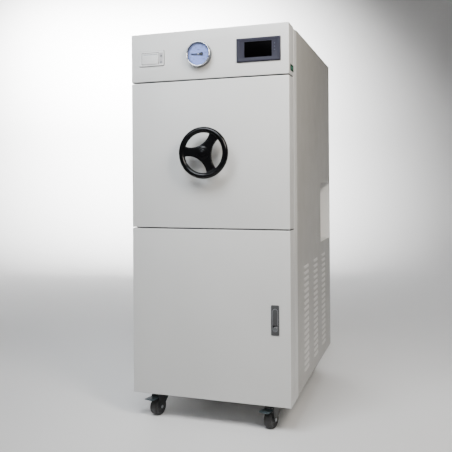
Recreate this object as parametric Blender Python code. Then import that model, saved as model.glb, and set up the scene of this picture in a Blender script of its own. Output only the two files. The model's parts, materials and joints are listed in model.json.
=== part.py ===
"""Floor-standing steam autoclave: a sheet-steel cabinet on four braked swivel castors, with a horizontal
pressure chamber behind a handwheel-locked door, a service bay below it and a control panel above it.

Metres, +Z up, +X to the right seen from the front, +Y to the rear. The origin is on the floor, under the
centre of the object's bounding box. Distances behind the front face go through back().
"""

import math

import bmesh
import bpy
from mathutils import Matrix, Vector

# Driving dimensions.
WIDTH = 0.585
DEPTH = 0.875
CASTOR_HEIGHT = 0.095
BODY_HEIGHT = 1.300
HANDWHEEL_REACH = 0.0545
FRONT_Y = -(DEPTH - HANDWHEEL_REACH) / 2
TOP = CASTOR_HEIGHT + BODY_HEIGHT
HALF_WIDTH = WIDTH / 2

# Sheet metal and the gaps between its pieces.
SKIN = 0.0012
FRAME_SHEET = 0.002
TOUCH = 0.0003
EDGE_ROUND = 0.002

# Front to rear: door and control pans, hinge gap, front frame, side panels.
PAN_DEPTH = 0.072
HINGE_GAP = 0.005
FRAME_FRONT = PAN_DEPTH + HINGE_GAP
FRAME_BACK = 0.120
PANEL_FRONT = 0.122
PANEL_BOTTOM = CASTOR_HEIGHT + 0.004
HINGE_Y = PAN_DEPTH + HINGE_GAP / 2

# Heights of the two seams across the front.
SEAM = 0.003
LOWER_SEAM = CASTOR_HEIGHT + 0.5995
UPPER_SEAM = CASTOR_HEIGHT + 1.1245

# Chamber, its locking ring and its door.
CHAMBER_Z = CASTOR_HEIGHT + 0.864
CHAMBER_RADIUS = 0.165
CHAMBER_WALL = 0.005
CHAMBER_MOUTH = 0.112
CHAMBER_LENGTH = 0.640
RING_OUTER = 0.205
RING_LIP = 0.180
DISC_RADIUS = 0.172
DISC_FRONT = 0.082
DISC_BACK = 0.1055
BAR_FRONT = 0.066
BAR_BACK = 0.078
FASCIA_HOLE = 0.209

# Handwheel.
RIM_RADIUS = 0.0795
RIM_THICKNESS = 0.0105
RIM_PLANE = -(HANDWHEEL_REACH - RIM_THICKNESS)
SPOKE_ANGLE = math.radians(55.4)
SPINDLE_RADIUS = 0.012

# Castors.
WHEEL_RADIUS = 0.0315
WHEEL_WIDTH = 0.028
CASTOR_TRAIL = 0.028
CASTOR_INSET_X = 0.0775
CASTOR_INSET_Y = 0.086
CASTOR_TURN = math.radians(-15)

ROUND_STEPS = 32


def back(distance):
    """The y of a plane this far behind the front face."""
    return FRONT_Y + distance


def finish(name, colour, roughness, metallic=0.0):
    made = bpy.data.materials.new(name)
    made.use_nodes = True
    shader = made.node_tree.nodes["Principled BSDF"]
    shader.inputs["Base Color"].default_value = (*colour, 1.0)
    shader.inputs["Roughness"].default_value = roughness
    shader.inputs["Metallic"].default_value = metallic
    made.diffuse_color = (*colour, 1.0)
    return made


def make_finishes():
    return {
        "paint": finish("powder_coat", (0.60, 0.60, 0.59), 0.45),
        "frame": finish("frame_paint", (0.52, 0.52, 0.50), 0.50),
        "steel": finish("stainless_steel", (0.62, 0.62, 0.62), 0.30, 1.0),
        "cast": finish("cast_steel", (0.28, 0.29, 0.30), 0.55, 1.0),
        "zinc": finish("zinc_plate", (0.55, 0.57, 0.60), 0.40, 1.0),
        "brass": finish("brass", (0.72, 0.53, 0.25), 0.35, 1.0),
        "chrome": finish("chrome", (0.75, 0.76, 0.78), 0.15, 1.0),
        "black": finish("black_bakelite", (0.010, 0.010, 0.012), 0.18),
        "rubber": finish("castor_rubber", (0.030, 0.030, 0.030), 0.70),
        "fork": finish("castor_steel", (0.055, 0.058, 0.060), 0.50, 0.6),
        "pedal": finish("pedal_plastic", (0.040, 0.055, 0.062), 0.50),
        "silicone": finish("silicone", (0.72, 0.70, 0.66), 0.60),
        "dial": finish("dial_face", (0.55, 0.62, 0.70), 0.50),
        "needle": finish("needle_black", (0.02, 0.02, 0.02), 0.40),
        "glass": finish("clear_glass", (0.85, 0.90, 0.92), 0.05),
        "white": finish("white_plastic", (0.74, 0.74, 0.73), 0.45),
        "bezel": finish("bezel_plastic", (0.060, 0.064, 0.095), 0.45),
        "screen": finish("screen_glass", (0.004, 0.004, 0.005), 0.08),
        "lock": finish("lock_plastic", (0.085, 0.088, 0.095), 0.45),
        "tank": finish("tank_plastic", (0.70, 0.72, 0.72), 0.50),
        "motor": finish("motor_enamel", (0.10, 0.16, 0.24), 0.45, 0.3),
    }


def clear_scene():
    for obj in list(bpy.data.objects):
        bpy.data.objects.remove(obj, do_unlink=True)


def add(name, shape, material, smooth=False):
    """Make an object of a bmesh, facing outwards."""
    bmesh.ops.recalc_face_normals(shape, faces=shape.faces)
    mesh = bpy.data.meshes.new(name)
    shape.to_mesh(mesh)
    shape.free()
    mesh.materials.append(material)
    if smooth:
        mesh.shade_smooth()
        mesh.set_sharp_from_angle(angle=math.radians(40))
    obj = bpy.data.objects.new(name, mesh)
    bpy.context.scene.collection.objects.link(obj)
    return obj


def block(low, high):
    """A box between two corners."""
    shape = bmesh.new()
    size = Vector(high) - Vector(low)
    middle = (Vector(high) + Vector(low)) / 2
    bmesh.ops.create_cube(shape, size=1.0, matrix=Matrix.LocRotScale(middle, None, size))
    return shape


def prism(outline, start, end, axis="Y"):
    """Extrude an outline of (u, v) points along an axis, from start to end.

    The outline lies in (X, Z) for axis Y, in (Y, Z) for axis X and in (X, Y) for axis Z.
    """
    places = {
        "X": lambda u, v: (start, u, v),
        "Y": lambda u, v: (u, start, v),
        "Z": lambda u, v: (u, v, start),
    }
    along = {"X": Vector((1, 0, 0)), "Y": Vector((0, 1, 0)), "Z": Vector((0, 0, 1))}[axis]
    shape = bmesh.new()
    corners = [shape.verts.new(places[axis](u, v)) for u, v in outline]
    cap = shape.faces.new(corners)
    grown = bmesh.ops.extrude_face_region(shape, geom=[cap])
    moved = [item for item in grown["geom"] if isinstance(item, bmesh.types.BMVert)]
    bmesh.ops.translate(shape, verts=moved, vec=along * (end - start))
    return shape


def turned(profile, centre, axis="Y", steps=ROUND_STEPS):
    """Turn (radius, distance) points about an axis through centre. A closed profile makes a ring."""
    shape = bmesh.new()
    direction = {"X": Vector((1, 0, 0)), "Y": Vector((0, 1, 0)), "Z": Vector((0, 0, 1))}[axis]
    outward = {"X": Vector((0, 0, 1)), "Y": Vector((0, 0, 1)), "Z": Vector((1, 0, 0))}[axis]
    centre = Vector(centre)
    points = [centre + outward * radius + direction * along for radius, along in profile]
    corners = [shape.verts.new(point) for point in points]
    edges = [shape.edges.new(pair) for pair in zip(corners, corners[1:])]
    if profile[0][0] > 0:
        edges.append(shape.edges.new((corners[-1], corners[0])))
    bmesh.ops.spin(shape, geom=corners + edges, cent=centre, axis=direction, angle=math.tau,
                   steps=steps, use_merge=True)
    bmesh.ops.remove_doubles(shape, verts=shape.verts, dist=1e-6)
    return shape


def rod(radius, start, end, axis="Y", steps=ROUND_STEPS):
    """A plain cylinder from start to end, two points on a line along the axis."""
    length = (Vector(end) - Vector(start)).length
    return turned([(0, 0), (radius, 0), (radius, length), (0, length)], start, axis, steps)


def arc(centre, radius, first, last, steps):
    """Points on an arc, from the first angle to the last."""
    angles = [first + (last - first) * step / steps for step in range(steps + 1)]
    return [(centre[0] + radius * math.cos(a), centre[1] + radius * math.sin(a)) for a in angles]


def stadium(centre_u, low, high, half_width, steps=8):
    """An upright slot outline with round ends."""
    upper = arc((centre_u, high - half_width), half_width, 0, math.pi, steps)
    lower = arc((centre_u, low + half_width), half_width, math.pi, math.tau, steps)
    return upper + lower


def tool(shape):
    """A helper for Boolean cuts and joins, which isn't part of the object."""
    helper = add("tool", shape, bpy.data.materials[0])
    helper.hide_render = True
    helper.display_type = "WIRE"
    return helper


def combine(obj, operation, shapes):
    for shape in shapes:
        change = obj.modifiers.new(operation.lower(), "BOOLEAN")
        change.operation = operation
        change.object = tool(shape)
    return obj


def cut(obj, *shapes):
    return combine(obj, "DIFFERENCE", shapes)


def join(obj, *shapes):
    return combine(obj, "UNION", shapes)


def rounded(obj, width, segments=2, angle=30):
    bevel = obj.modifiers.new("edge_round", "BEVEL")
    bevel.width = width
    bevel.segments = segments
    bevel.limit_method = "ANGLE"
    bevel.angle_limit = math.radians(angle)
    return obj


def pan(name, low, high, material, thickness=SKIN, open_sides=("+Y",), edge=EDGE_ROUND):
    """A folded sheet box, open on the named sides. Its outer corners are rounded before it gets its
    thickness, so the fold has the same thickness all round."""
    shape = block(low, high)
    shape.normal_update()
    directions = {"+X": (1, 0, 0), "-X": (-1, 0, 0), "+Y": (0, 1, 0), "-Y": (0, -1, 0),
                  "+Z": (0, 0, 1), "-Z": (0, 0, -1)}
    gone = [face for face in shape.faces
            if any(face.normal.dot(Vector(directions[side])) > 0.9 for side in open_sides)]
    bmesh.ops.delete(shape, geom=gone, context="FACES")
    obj = add(name, shape, material)
    if edge:
        rounded(obj, edge, 2)
    sheet = obj.modifiers.new("sheet", "SOLIDIFY")
    sheet.thickness = thickness
    sheet.offset = -1
    sheet.use_even_offset = True
    return obj


def pivot(obj, point):
    """Put the object's origin on its joint's axis without moving its shape."""
    point = Vector(point)
    obj.data.transform(Matrix.Translation(-point))
    obj.location = point
    return obj


def louvre_hoods(side):
    """Pressed vents in three columns. side is +1 for the right panel and -1 for the left one."""
    columns = (0.281, 0.480, 0.677)
    rows, lowest, pitch = 18, CASTOR_HEIGHT + 0.0556, 0.0225
    half_length, rise, height, taper = 0.046, 0.0038, 0.009, 0.008
    inside = side * (HALF_WIDTH - SKIN / 2)
    outside = side * (HALF_WIDTH + rise)
    hoods = bmesh.new()
    for column in columns:
        for row in range(rows):
            bottom = lowest + row * pitch
            first, last = back(column - half_length), back(column + half_length)
            corners = [(inside, first, bottom + height), (inside, last, bottom + height),
                       (inside, last, bottom), (inside, first, bottom),
                       (outside, last - taper, bottom), (outside, first + taper, bottom)]
            corners = [hoods.verts.new(point) for point in corners]
            for face in ((0, 1, 2, 3), (3, 2, 4, 5), (0, 5, 4, 1), (0, 3, 5), (1, 4, 2)):
                hoods.faces.new([corners[index] for index in face])
    return hoods


NICHE_FRONT, NICHE_REAR = 0.614, 0.864
NICHE_LOW, NICHE_HIGH = CASTOR_HEIGHT + 0.502, CASTOR_HEIGHT + 0.758
NICHE_DEPTH = 0.060


def side_panel(name, side, paint, niche=False):
    inner, outer = side * (HALF_WIDTH - SKIN), side * HALF_WIDTH
    panel = add(name, block((min(inner, outer), back(PANEL_FRONT), PANEL_BOTTOM),
                            (max(inner, outer), back(DEPTH), TOP)), paint)
    join(panel, louvre_hoods(side))
    if niche:
        cut(panel, block((HALF_WIDTH - 0.01, back(NICHE_FRONT), NICHE_LOW),
                         (HALF_WIDTH + 0.01, back(NICHE_REAR), NICHE_HIGH)))
    return panel


BASE_LOW = CASTOR_HEIGHT - 0.001
BASE_HIGH = CASTOR_HEIGHT + 0.041
BASE_SHEET = 0.003
BASE_FLOOR = BASE_LOW + BASE_SHEET
BASE_HALF = HALF_WIDTH - 0.0035
BASE_FRONT = FRAME_FRONT + FRAME_SHEET + 0.0015
BASE_REAR = DEPTH - 0.002
CASTOR_PLATE_LOW = CASTOR_HEIGHT - 0.004
CASTOR_PLATE_HIGH = CASTOR_HEIGHT - 0.0005
CASTOR_PLATE_HALF = 0.028


def castor_places():
    """The name, x and distance behind the front face of each swivel axis."""
    for side_name, side in (("left", -1), ("right", 1)):
        for end_name, depth in (("front", CASTOR_INSET_Y), ("rear", DEPTH - CASTOR_INSET_Y)):
            yield f"{end_name}_{side_name}", side * (HALF_WIDTH - CASTOR_INSET_X), depth


def make_base(finishes):
    base = pan("base_frame", (-BASE_HALF, back(BASE_FRONT), BASE_LOW),
               (BASE_HALF, back(BASE_REAR), BASE_HIGH), finishes["frame"],
               BASE_SHEET, ("+Z",), 0)
    plates = []
    for _, x, depth in castor_places():
        plates.append(block((x - CASTOR_PLATE_HALF, back(depth - CASTOR_PLATE_HALF), CASTOR_PLATE_LOW),
                            (x + CASTOR_PLATE_HALF, back(depth + CASTOR_PLATE_HALF), CASTOR_PLATE_HIGH)))
    return join(base, *plates)


CONTROL_OPENING = ((-0.272, UPPER_SEAM + 0.018), (0.272, TOP - 0.020))
SERVICE_OPENING = ((-0.2625, BASE_HIGH + 0.004), (0.2625, LOWER_SEAM - 0.022))


def make_front_frame(finishes):
    frame = pan("front_frame", (-HALF_WIDTH, back(FRAME_FRONT), CASTOR_HEIGHT + 0.0015),
                (HALF_WIDTH, back(FRAME_BACK), TOP), finishes["paint"],
                FRAME_SHEET, ("+Y", "-Z"), 0.004)
    middle = back((FRAME_FRONT + FRAME_BACK) / 2)
    for low, high in (CONTROL_OPENING, SERVICE_OPENING):
        cut(frame, block((low[0], back(FRAME_FRONT) - 0.01, low[1]), (high[0], middle, high[1])))
    return cut(frame, rod(FASCIA_HOLE, (0, back(FRAME_FRONT) - 0.01, CHAMBER_Z), (0, middle, CHAMBER_Z),
                          steps=48))


def make_cabinet(finishes):
    make_base(finishes)
    make_front_frame(finishes)
    side_panel("side_panel_right", 1, finishes["paint"], niche=True)
    side_panel("side_panel_left", -1, finishes["paint"])
    inner = HALF_WIDTH - SKIN - TOUCH
    add("rear_panel", block((-inner, back(DEPTH - SKIN), PANEL_BOTTOM),
                            (inner, back(DEPTH), TOP - SKIN - TOUCH)), finishes["paint"])
    add("top_panel", block((-inner, back(FRAME_BACK + TOUCH), TOP - SKIN),
                           (inner, back(DEPTH), TOP)), finishes["paint"])
    niche_x = HALF_WIDTH - SKIN - TOUCH - NICHE_DEPTH
    pan("service_niche", (niche_x, back(NICHE_FRONT - SKIN), NICHE_LOW - SKIN),
        (HALF_WIDTH - SKIN - TOUCH, back(NICHE_REAR + SKIN), NICHE_HIGH + SKIN), finishes["paint"],
        SKIN, ("+X",), 0.0008)


GAUGE = (-0.0255, CASTOR_HEIGHT + 1.211)
GAUGE_RADIUS = 0.044
GAUGE_BORE = 0.0395
GAUGE_TUBE = 0.0410
GAUGE_REACH = 0.024
DIAL_FRONT = -0.0140
PRINTER_LOW = (-0.2590, CASTOR_HEIGHT + 1.1832)
PRINTER_HIGH = (-0.1630, CASTOR_HEIGHT + 1.2362)
HMI_LOW = (0.1092, CASTOR_HEIGHT + 1.1732)
HMI_HIGH = (0.2647, CASTOR_HEIGHT + 1.2552)
SCREEN_LOW = (0.138, CASTOR_HEIGHT + 1.1885)
SCREEN_HIGH = (0.234, CASTOR_HEIGHT + 1.2415)
PLASTIC = 0.002


def inset_block(low, high, margin, front, rear):
    """A box through the panel, smaller than a front outline by a margin all round."""
    return block((low[0] + margin, back(front), low[1] + margin),
                 (high[0] - margin, back(rear), high[1] - margin))


def make_control_panel(finishes):
    panel = pan("control_panel", (-HALF_WIDTH, back(0), UPPER_SEAM + SEAM / 2),
                (HALF_WIDTH, back(PAN_DEPTH), TOP), finishes["paint"])
    cut(panel, rod(GAUGE_TUBE + 0.0015, (GAUGE[0], back(-0.01), GAUGE[1]), (GAUGE[0], back(0.01), GAUGE[1])))
    cut(panel, inset_block(PRINTER_LOW, PRINTER_HIGH, 0.0025, -0.01, 0.01))
    cut(panel, inset_block(HMI_LOW, HMI_HIGH, 0.006, -0.01, 0.01))


def make_gauge(finishes):
    groove = GAUGE_BORE + 0.0013
    profile = [(0, 0.030), (GAUGE_TUBE, 0.030), (GAUGE_TUBE, -TOUCH), (GAUGE_RADIUS, -TOUCH),
               (GAUGE_RADIUS, 0.002 - GAUGE_REACH), (GAUGE_RADIUS - 0.002, -GAUGE_REACH),
               (GAUGE_BORE, -GAUGE_REACH), (GAUGE_BORE, 0.002 - GAUGE_REACH), (groove, 0.002 - GAUGE_REACH),
               (groove, 0.005 - GAUGE_REACH), (GAUGE_BORE, 0.005 - GAUGE_REACH), (GAUGE_BORE, 0.028),
               (0, 0.028)]
    centre = (GAUGE[0], back(0), GAUGE[1])
    add("gauge_case", turned(profile, centre), finishes["chrome"], smooth=True)
    add("gauge_dial", rod(GAUGE_BORE - 0.0003, (GAUGE[0], back(DIAL_FRONT), GAUGE[1]),
                          (GAUGE[0], back(DIAL_FRONT + 0.001), GAUGE[1])), finishes["dial"], smooth=True)
    add("gauge_glass", rod(groove - 0.0004, (GAUGE[0], back(0.0025 - GAUGE_REACH), GAUGE[1]),
                           (GAUGE[0], back(0.0045 - GAUGE_REACH), GAUGE[1]), steps=40),
        finishes["glass"], smooth=True)
    outline = [(-0.032, 0.0), (-0.004, -0.0016), (0.010, -0.0035), (0.014, -0.0035),
               (0.014, 0.0035), (0.010, 0.0035), (-0.004, 0.0016)]
    tilt = math.radians(2)
    turned_outline = [(GAUGE[0] + u * math.cos(tilt) - v * math.sin(tilt),
                       GAUGE[1] + u * math.sin(tilt) + v * math.cos(tilt)) for u, v in outline]
    needle = add("gauge_needle", prism(turned_outline, back(DIAL_FRONT - 0.0035), back(DIAL_FRONT - 0.0025)),
                 finishes["needle"])
    join(needle, rod(0.0045, (GAUGE[0], back(DIAL_FRONT - 0.0045), GAUGE[1]),
                     (GAUGE[0], back(DIAL_FRONT - 0.0006), GAUGE[1]), steps=20))
    pivot(needle, centre)


BUTTON = (-0.1735, CASTOR_HEIGHT + 1.2185)
PRINTER_DOOR_LOW = (-0.2480, CASTOR_HEIGHT + 1.1885)
PRINTER_DOOR_HIGH = (-0.1840, CASTOR_HEIGHT + 1.2285)


def make_printer(finishes):
    housing = add("printer_housing", block((PRINTER_LOW[0], back(-0.0040), PRINTER_LOW[1]),
                                           (PRINTER_HIGH[0], back(-TOUCH), PRINTER_HIGH[1])),
                  finishes["white"])
    rounded(housing, 0.0012)
    join(housing, inset_block(PRINTER_LOW, PRINTER_HIGH, 0.003, -0.001, 0.050))
    bay_low = (PRINTER_DOOR_LOW[0] - 0.0005, PRINTER_DOOR_LOW[1] - 0.0005)
    bay_high = (PRINTER_DOOR_HIGH[0] + 0.0005, PRINTER_DOOR_HIGH[1] + 0.0005)
    cut(housing, block((bay_low[0], back(-0.02), bay_low[1]), (bay_high[0], back(0.048), bay_high[1])),
        rod(0.0040, (BUTTON[0], back(-0.02), BUTTON[1]), (BUTTON[0], back(0.010), BUTTON[1]), steps=20))
    door = add("printer_door", block((PRINTER_DOOR_LOW[0], back(-0.0055), PRINTER_DOOR_LOW[1] + 0.0005),
                                     (PRINTER_DOOR_HIGH[0], back(-0.0015), PRINTER_DOOR_HIGH[1])),
               finishes["white"])
    rounded(pivot(door, (-0.2165, back(-0.0050), PRINTER_DOOR_LOW[1] + 0.0010)), 0.0006)
    pivot(add("feed_button", rod(0.0035, (BUTTON[0], back(-0.0058), BUTTON[1]),
                                 (BUTTON[0], back(0.0060), BUTTON[1]), steps=20),
              finishes["bezel"], smooth=True), (BUTTON[0], back(0), BUTTON[1]))


def make_hmi(finishes):
    bezel = add("hmi_bezel", block((HMI_LOW[0], back(-0.0060), HMI_LOW[1]),
                                   (HMI_HIGH[0], back(-TOUCH), HMI_HIGH[1])), finishes["bezel"])
    rounded(bezel, 0.0015)
    join(bezel, inset_block(HMI_LOW, HMI_HIGH, 0.0065, -0.001, 0.035))
    cut(bezel, inset_block(SCREEN_LOW, SCREEN_HIGH, -0.0005, -0.02, -0.0020))
    add("hmi_screen", inset_block(SCREEN_LOW, SCREEN_HIGH, 0, -0.0048, -0.0023), finishes["screen"])


def make_chamber(finishes):
    centre = (0, back(0), CHAMBER_Z)
    outer = CHAMBER_RADIUS + CHAMBER_WALL
    rear, dish = CHAMBER_MOUTH + CHAMBER_LENGTH, 0.055
    outside = [(math.sin(angle) * outer, rear - dish + math.cos(angle) * dish)
               for angle in (math.radians(18 * step) for step in range(6))]
    inside = [(math.sin(angle) * CHAMBER_RADIUS, rear - dish + math.cos(angle) * (dish - CHAMBER_WALL))
              for angle in (math.radians(90 - 18 * step) for step in range(6))]
    outside[0], inside[-1] = (0, rear), (0, rear - CHAMBER_WALL)
    flange = [(outer, CHAMBER_MOUTH + 0.014), (RING_OUTER - 0.006, CHAMBER_MOUTH + 0.014),
              (RING_OUTER - 0.006, CHAMBER_MOUTH), (CHAMBER_RADIUS, CHAMBER_MOUTH)]
    add("chamber_vessel", turned(outside + flange + inside, centre), finishes["steel"], smooth=True)
    lip_front, lip_back = BAR_FRONT - 0.014, BAR_FRONT - 0.002
    ring = [(RING_LIP, lip_front), (RING_OUTER, lip_front), (RING_OUTER, CHAMBER_MOUTH - TOUCH),
            (RING_OUTER - 0.008, CHAMBER_MOUTH - TOUCH), (RING_OUTER - 0.008, lip_back),
            (RING_LIP, lip_back)]
    add("locking_ring", turned(ring[::-1], centre, steps=32), finishes["cast"], smooth=True)
    gasket = [(CHAMBER_RADIUS + 0.001, DISC_BACK + TOUCH), (CHAMBER_RADIUS + 0.001, CHAMBER_MOUTH - TOUCH),
              (DISC_RADIUS, CHAMBER_MOUTH - TOUCH), (DISC_RADIUS, DISC_BACK + TOUCH)]
    add("door_gasket", turned(gasket, centre), finishes["silicone"], smooth=True)


CRADLE_X = 0.235
CRADLE_DEPTHS = (0.215, 0.600)
CRADLE_TOP = CHAMBER_Z - 0.080


def make_cradle(finishes):
    """A welded stand: four legs, two saddle plates cut to the vessel, and two rails along the sides."""
    leg = 0.012
    first, last = CRADLE_DEPTHS
    stand = add("chamber_cradle", block((-CRADLE_X - leg, back(first - leg), CRADLE_TOP - 0.10),
                                        (CRADLE_X + leg, back(first + leg), CRADLE_TOP)), finishes["frame"])
    pieces = [block((-CRADLE_X - leg, back(last - leg), CRADLE_TOP - 0.10),
                    (CRADLE_X + leg, back(last + leg), CRADLE_TOP))]
    for x in (-CRADLE_X, CRADLE_X):
        pieces.append(block((x - leg + 0.001, back(first), CRADLE_TOP - 0.09),
                            (x + leg - 0.001, back(last), CRADLE_TOP - 0.05)))
        for depth in CRADLE_DEPTHS:
            pieces.append(block((x - leg, back(depth - leg), BASE_FLOOR + TOUCH),
                                (x + leg, back(depth + leg), CRADLE_TOP - 0.01)))
    join(stand, *pieces)
    cut(stand, rod(CHAMBER_RADIUS + CHAMBER_WALL + 0.002, (0, back(0.15), CHAMBER_Z),
                   (0, back(0.70), CHAMBER_Z), steps=40))


TRAY_HALF = 0.120
TRAY_FRONT, TRAY_REAR = 0.135, 0.655
TRAY_LEVELS = (("lower", CHAMBER_Z - 0.090), ("upper", CHAMBER_Z + 0.015))
RUNNER = 0.003


def make_trays(finishes):
    """A wire-and-strip rack that stands in the chamber, and two trays that slide out of it."""
    low = CHAMBER_Z - 0.1035
    high = CHAMBER_Z + 0.060
    uprights = []
    for depth in (0.175, 0.610):
        for side in (-1, 1):
            x = side * (TRAY_HALF + 0.004)
            uprights.append(block((x - RUNNER / 2, back(depth - 0.010), low),
                                  (x + RUNNER / 2, back(depth + 0.010), high)))
    rack = add("tray_rack", block((-TRAY_HALF - 0.0055, back(0.165), low),
                                  (TRAY_HALF + 0.0055, back(0.185), low + 0.004)), finishes["steel"])
    pieces = [block((-TRAY_HALF - 0.0055, back(0.600), low), (TRAY_HALF + 0.0055, back(0.620), low + 0.004))]
    for _, level in TRAY_LEVELS:
        for side in (-1, 1):
            inner, outer = side * (TRAY_HALF - 0.009), side * (TRAY_HALF + 0.005)
            pieces.append(block((min(inner, outer), back(0.150), level - 0.004),
                                (max(inner, outer), back(0.640), level - 0.001)))
    join(rack, *uprights, *pieces)
    for label, level in TRAY_LEVELS:
        pan(f"tray_{label}", (-TRAY_HALF, back(TRAY_FRONT), level - 0.0005),
            (TRAY_HALF, back(TRAY_REAR), level + 0.018), finishes["steel"], SKIN, ("+Z",), 0.003)


def make_services(finishes):
    """Steam generator, water tank, vacuum pump, safety valve, control electronics and drain."""
    floor = BASE_FLOOR + TOUCH
    generator = (-0.115, back(0.330), floor)
    shell = [(0, 0), (0.060, 0), (0.060, 0.020), (0.105, 0.020), (0.105, 0.034), (0.090, 0.034),
             (0.090, 0.330), (0.070, 0.365), (0.030, 0.380), (0.014, 0.382), (0.014, 0.410), (0, 0.410)]
    add("steam_generator", turned(shell, generator, "Z"), finishes["steel"], smooth=True)
    tank = add("water_tank", block((-0.205, back(0.640), floor), (0.205, back(0.840), floor + 0.400)),
               finishes["tank"])
    rounded(tank, 0.015)
    join(tank, rod(0.030, (-0.10, back(0.74), floor + 0.39), (-0.10, back(0.74), floor + 0.42), "Z", 24))
    pump = add("vacuum_pump", block((0.055, back(0.220), floor), (0.175, back(0.460), floor + 0.012)),
               finishes["motor"])
    axis_z = floor + 0.080
    join(pump, rod(0.062, (0.115, back(0.300), axis_z), (0.115, back(0.455), axis_z), steps=28),
         block((0.065, back(0.225), floor + 0.005), (0.165, back(0.302), floor + 0.150)),
         block((0.085, back(0.320), floor + 0.005), (0.145, back(0.440), floor + 0.040)),
         rod(0.014, (0.115, back(0.262), floor + 0.14), (0.115, back(0.262), floor + 0.18), "Z", 20))
    valve = (0.0, back(0.520), CHAMBER_Z + CHAMBER_RADIUS + CHAMBER_WALL + 0.0015)
    bell = [(0, 0), (0.011, 0), (0.011, 0.018), (0.017, 0.018), (0.017, 0.034), (0.012, 0.036),
            (0.012, 0.072), (0.015, 0.074), (0.015, 0.086), (0, 0.088)]
    add("safety_valve", turned(bell, valve, "Z", 24), finishes["brass"], smooth=True)
    box = add("control_electronics", block((-0.220, back(0.140), TOP - 0.125),
                                           (0.220, back(0.400), TOP - 0.030)),
              finishes["zinc"])
    rounded(box, 0.003)
    x, y, z = HALF_WIDTH - NICHE_DEPTH, back(0.700), NICHE_LOW + 0.060
    union = [(0, 0), (0.013, 0), (0.013, 0.010), (0.009, 0.010), (0.009, 0.020), (0.0105, 0.022),
             (0.008, 0.030), (0.0095, 0.032), (0.0065, 0.044), (0, 0.044)]
    add("drain_outlet", turned(union, (x, y, z), "X", 24), finishes["brass"], smooth=True)
    inlet = [(0, 0), (0.016, 0), (0.016, 0.006), (0.012, 0.007), (0.012, 0.018), (0.009, 0.022),
             (0.009, 0.022), (0, 0.022)]
    add("power_cable_gland", turned(inlet[:6] + inlet[7:], (x, back(0.780), z + 0.110), "X", 24),
        finishes["lock"], smooth=True)


KNUCKLE = 0.0021
LEAF = 0.0015


def hinge(prefix, low, high, finishes):
    """A long knuckle hinge in the gap at the left edge: fixed and moving leaves with taking-turn knuckles."""
    axis = (-HALF_WIDTH, back(HINGE_Y))
    count = 5
    pitch = (high - low) / count
    kinds = {"fixed": (FRAME_FRONT - TOUCH - LEAF, FRAME_FRONT - TOUCH, 0),
             "moving": (PAN_DEPTH + TOUCH, PAN_DEPTH + TOUCH + LEAF, 1)}
    for kind, (front, rear, first) in kinds.items():
        leaf = add(f"{prefix}_hinge_{kind}", block((axis[0] + KNUCKLE + 0.001, back(front), low),
                                                  (axis[0] + 0.022, back(rear), high)), finishes["zinc"])
        pieces = []
        for index in range(first, count, 2):
            start, end = low + index * pitch + TOUCH, low + (index + 1) * pitch - TOUCH
            pieces.append(rod(KNUCKLE, (*axis, start), (*axis, end), "Z", 16))
            pieces.append(block((axis[0], back(front), start), (axis[0] + KNUCKLE + 0.002, back(rear), end)))
        join(leaf, *pieces)
        if kind == "moving":
            pivot(leaf, (*axis, 0))


def make_chamber_door(finishes):
    hinge_point = (-HALF_WIDTH, back(HINGE_Y), 0)
    cover = pan("door_cover", (-HALF_WIDTH, back(0), LOWER_SEAM + SEAM / 2),
                (HALF_WIDTH, back(PAN_DEPTH), UPPER_SEAM - SEAM / 2), finishes["paint"])
    cut(cover, rod(SPINDLE_RADIUS + 0.002, (0, back(-0.01), CHAMBER_Z), (0, back(0.01), CHAMBER_Z),
                   steps=24))
    pivot(cover, hinge_point)
    centre = (0, back(0), CHAMBER_Z)
    boss, bore = 0.028, SPINDLE_RADIUS + TOUCH
    disc = [(0, DISC_FRONT + 0.004), (bore, DISC_FRONT + 0.004), (bore, BAR_FRONT - 0.003),
            (boss, BAR_FRONT - 0.003), (boss, DISC_FRONT), (DISC_RADIUS - 0.012, DISC_FRONT),
            (DISC_RADIUS, DISC_FRONT + 0.008), (DISC_RADIUS, DISC_BACK), (0, DISC_BACK)]
    door = add("pressure_door", turned(disc, centre), finishes["steel"], smooth=True)
    stays = []
    for step in range(4):
        angle = math.radians(45 + 90 * step)
        x, z = 0.130 * math.cos(angle), CHAMBER_Z + 0.130 * math.sin(angle)
        stays.append(rod(0.008, (x, back(SKIN + TOUCH), z), (x, back(DISC_FRONT + 0.002), z), steps=16))
    join(door, *stays)
    pivot(door, hinge_point)
    for step in range(4):
        bar = add(f"locking_bar_{step + 1}", block((0.035, back(BAR_FRONT), -0.010),
                                                   (DISC_RADIUS, back(BAR_BACK), 0.010)), finishes["steel"])
        rounded(bar, 0.002, 1)
        bar.data.transform(Matrix.Rotation(-math.radians(90 * step), 4, "Y"))
        bar.location.z = CHAMBER_Z


def lens_outline():
    """The opening between two spokes: a circle centred outside the hub, held inside the rim."""
    middle, radius, inside = 0.0975, 0.0695, 0.0745
    reach = (inside ** 2 + middle ** 2 - radius ** 2) / (2 * middle)
    corner = math.acos(reach / inside)
    other = math.asin(inside * math.sin(corner) / radius)
    rim_side = arc((0, 0), inside, -corner, corner, 8)
    hub_side = arc((middle, 0), radius, math.pi - other, math.pi + other, 10)
    return rim_side + hub_side[1:-1]


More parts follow.
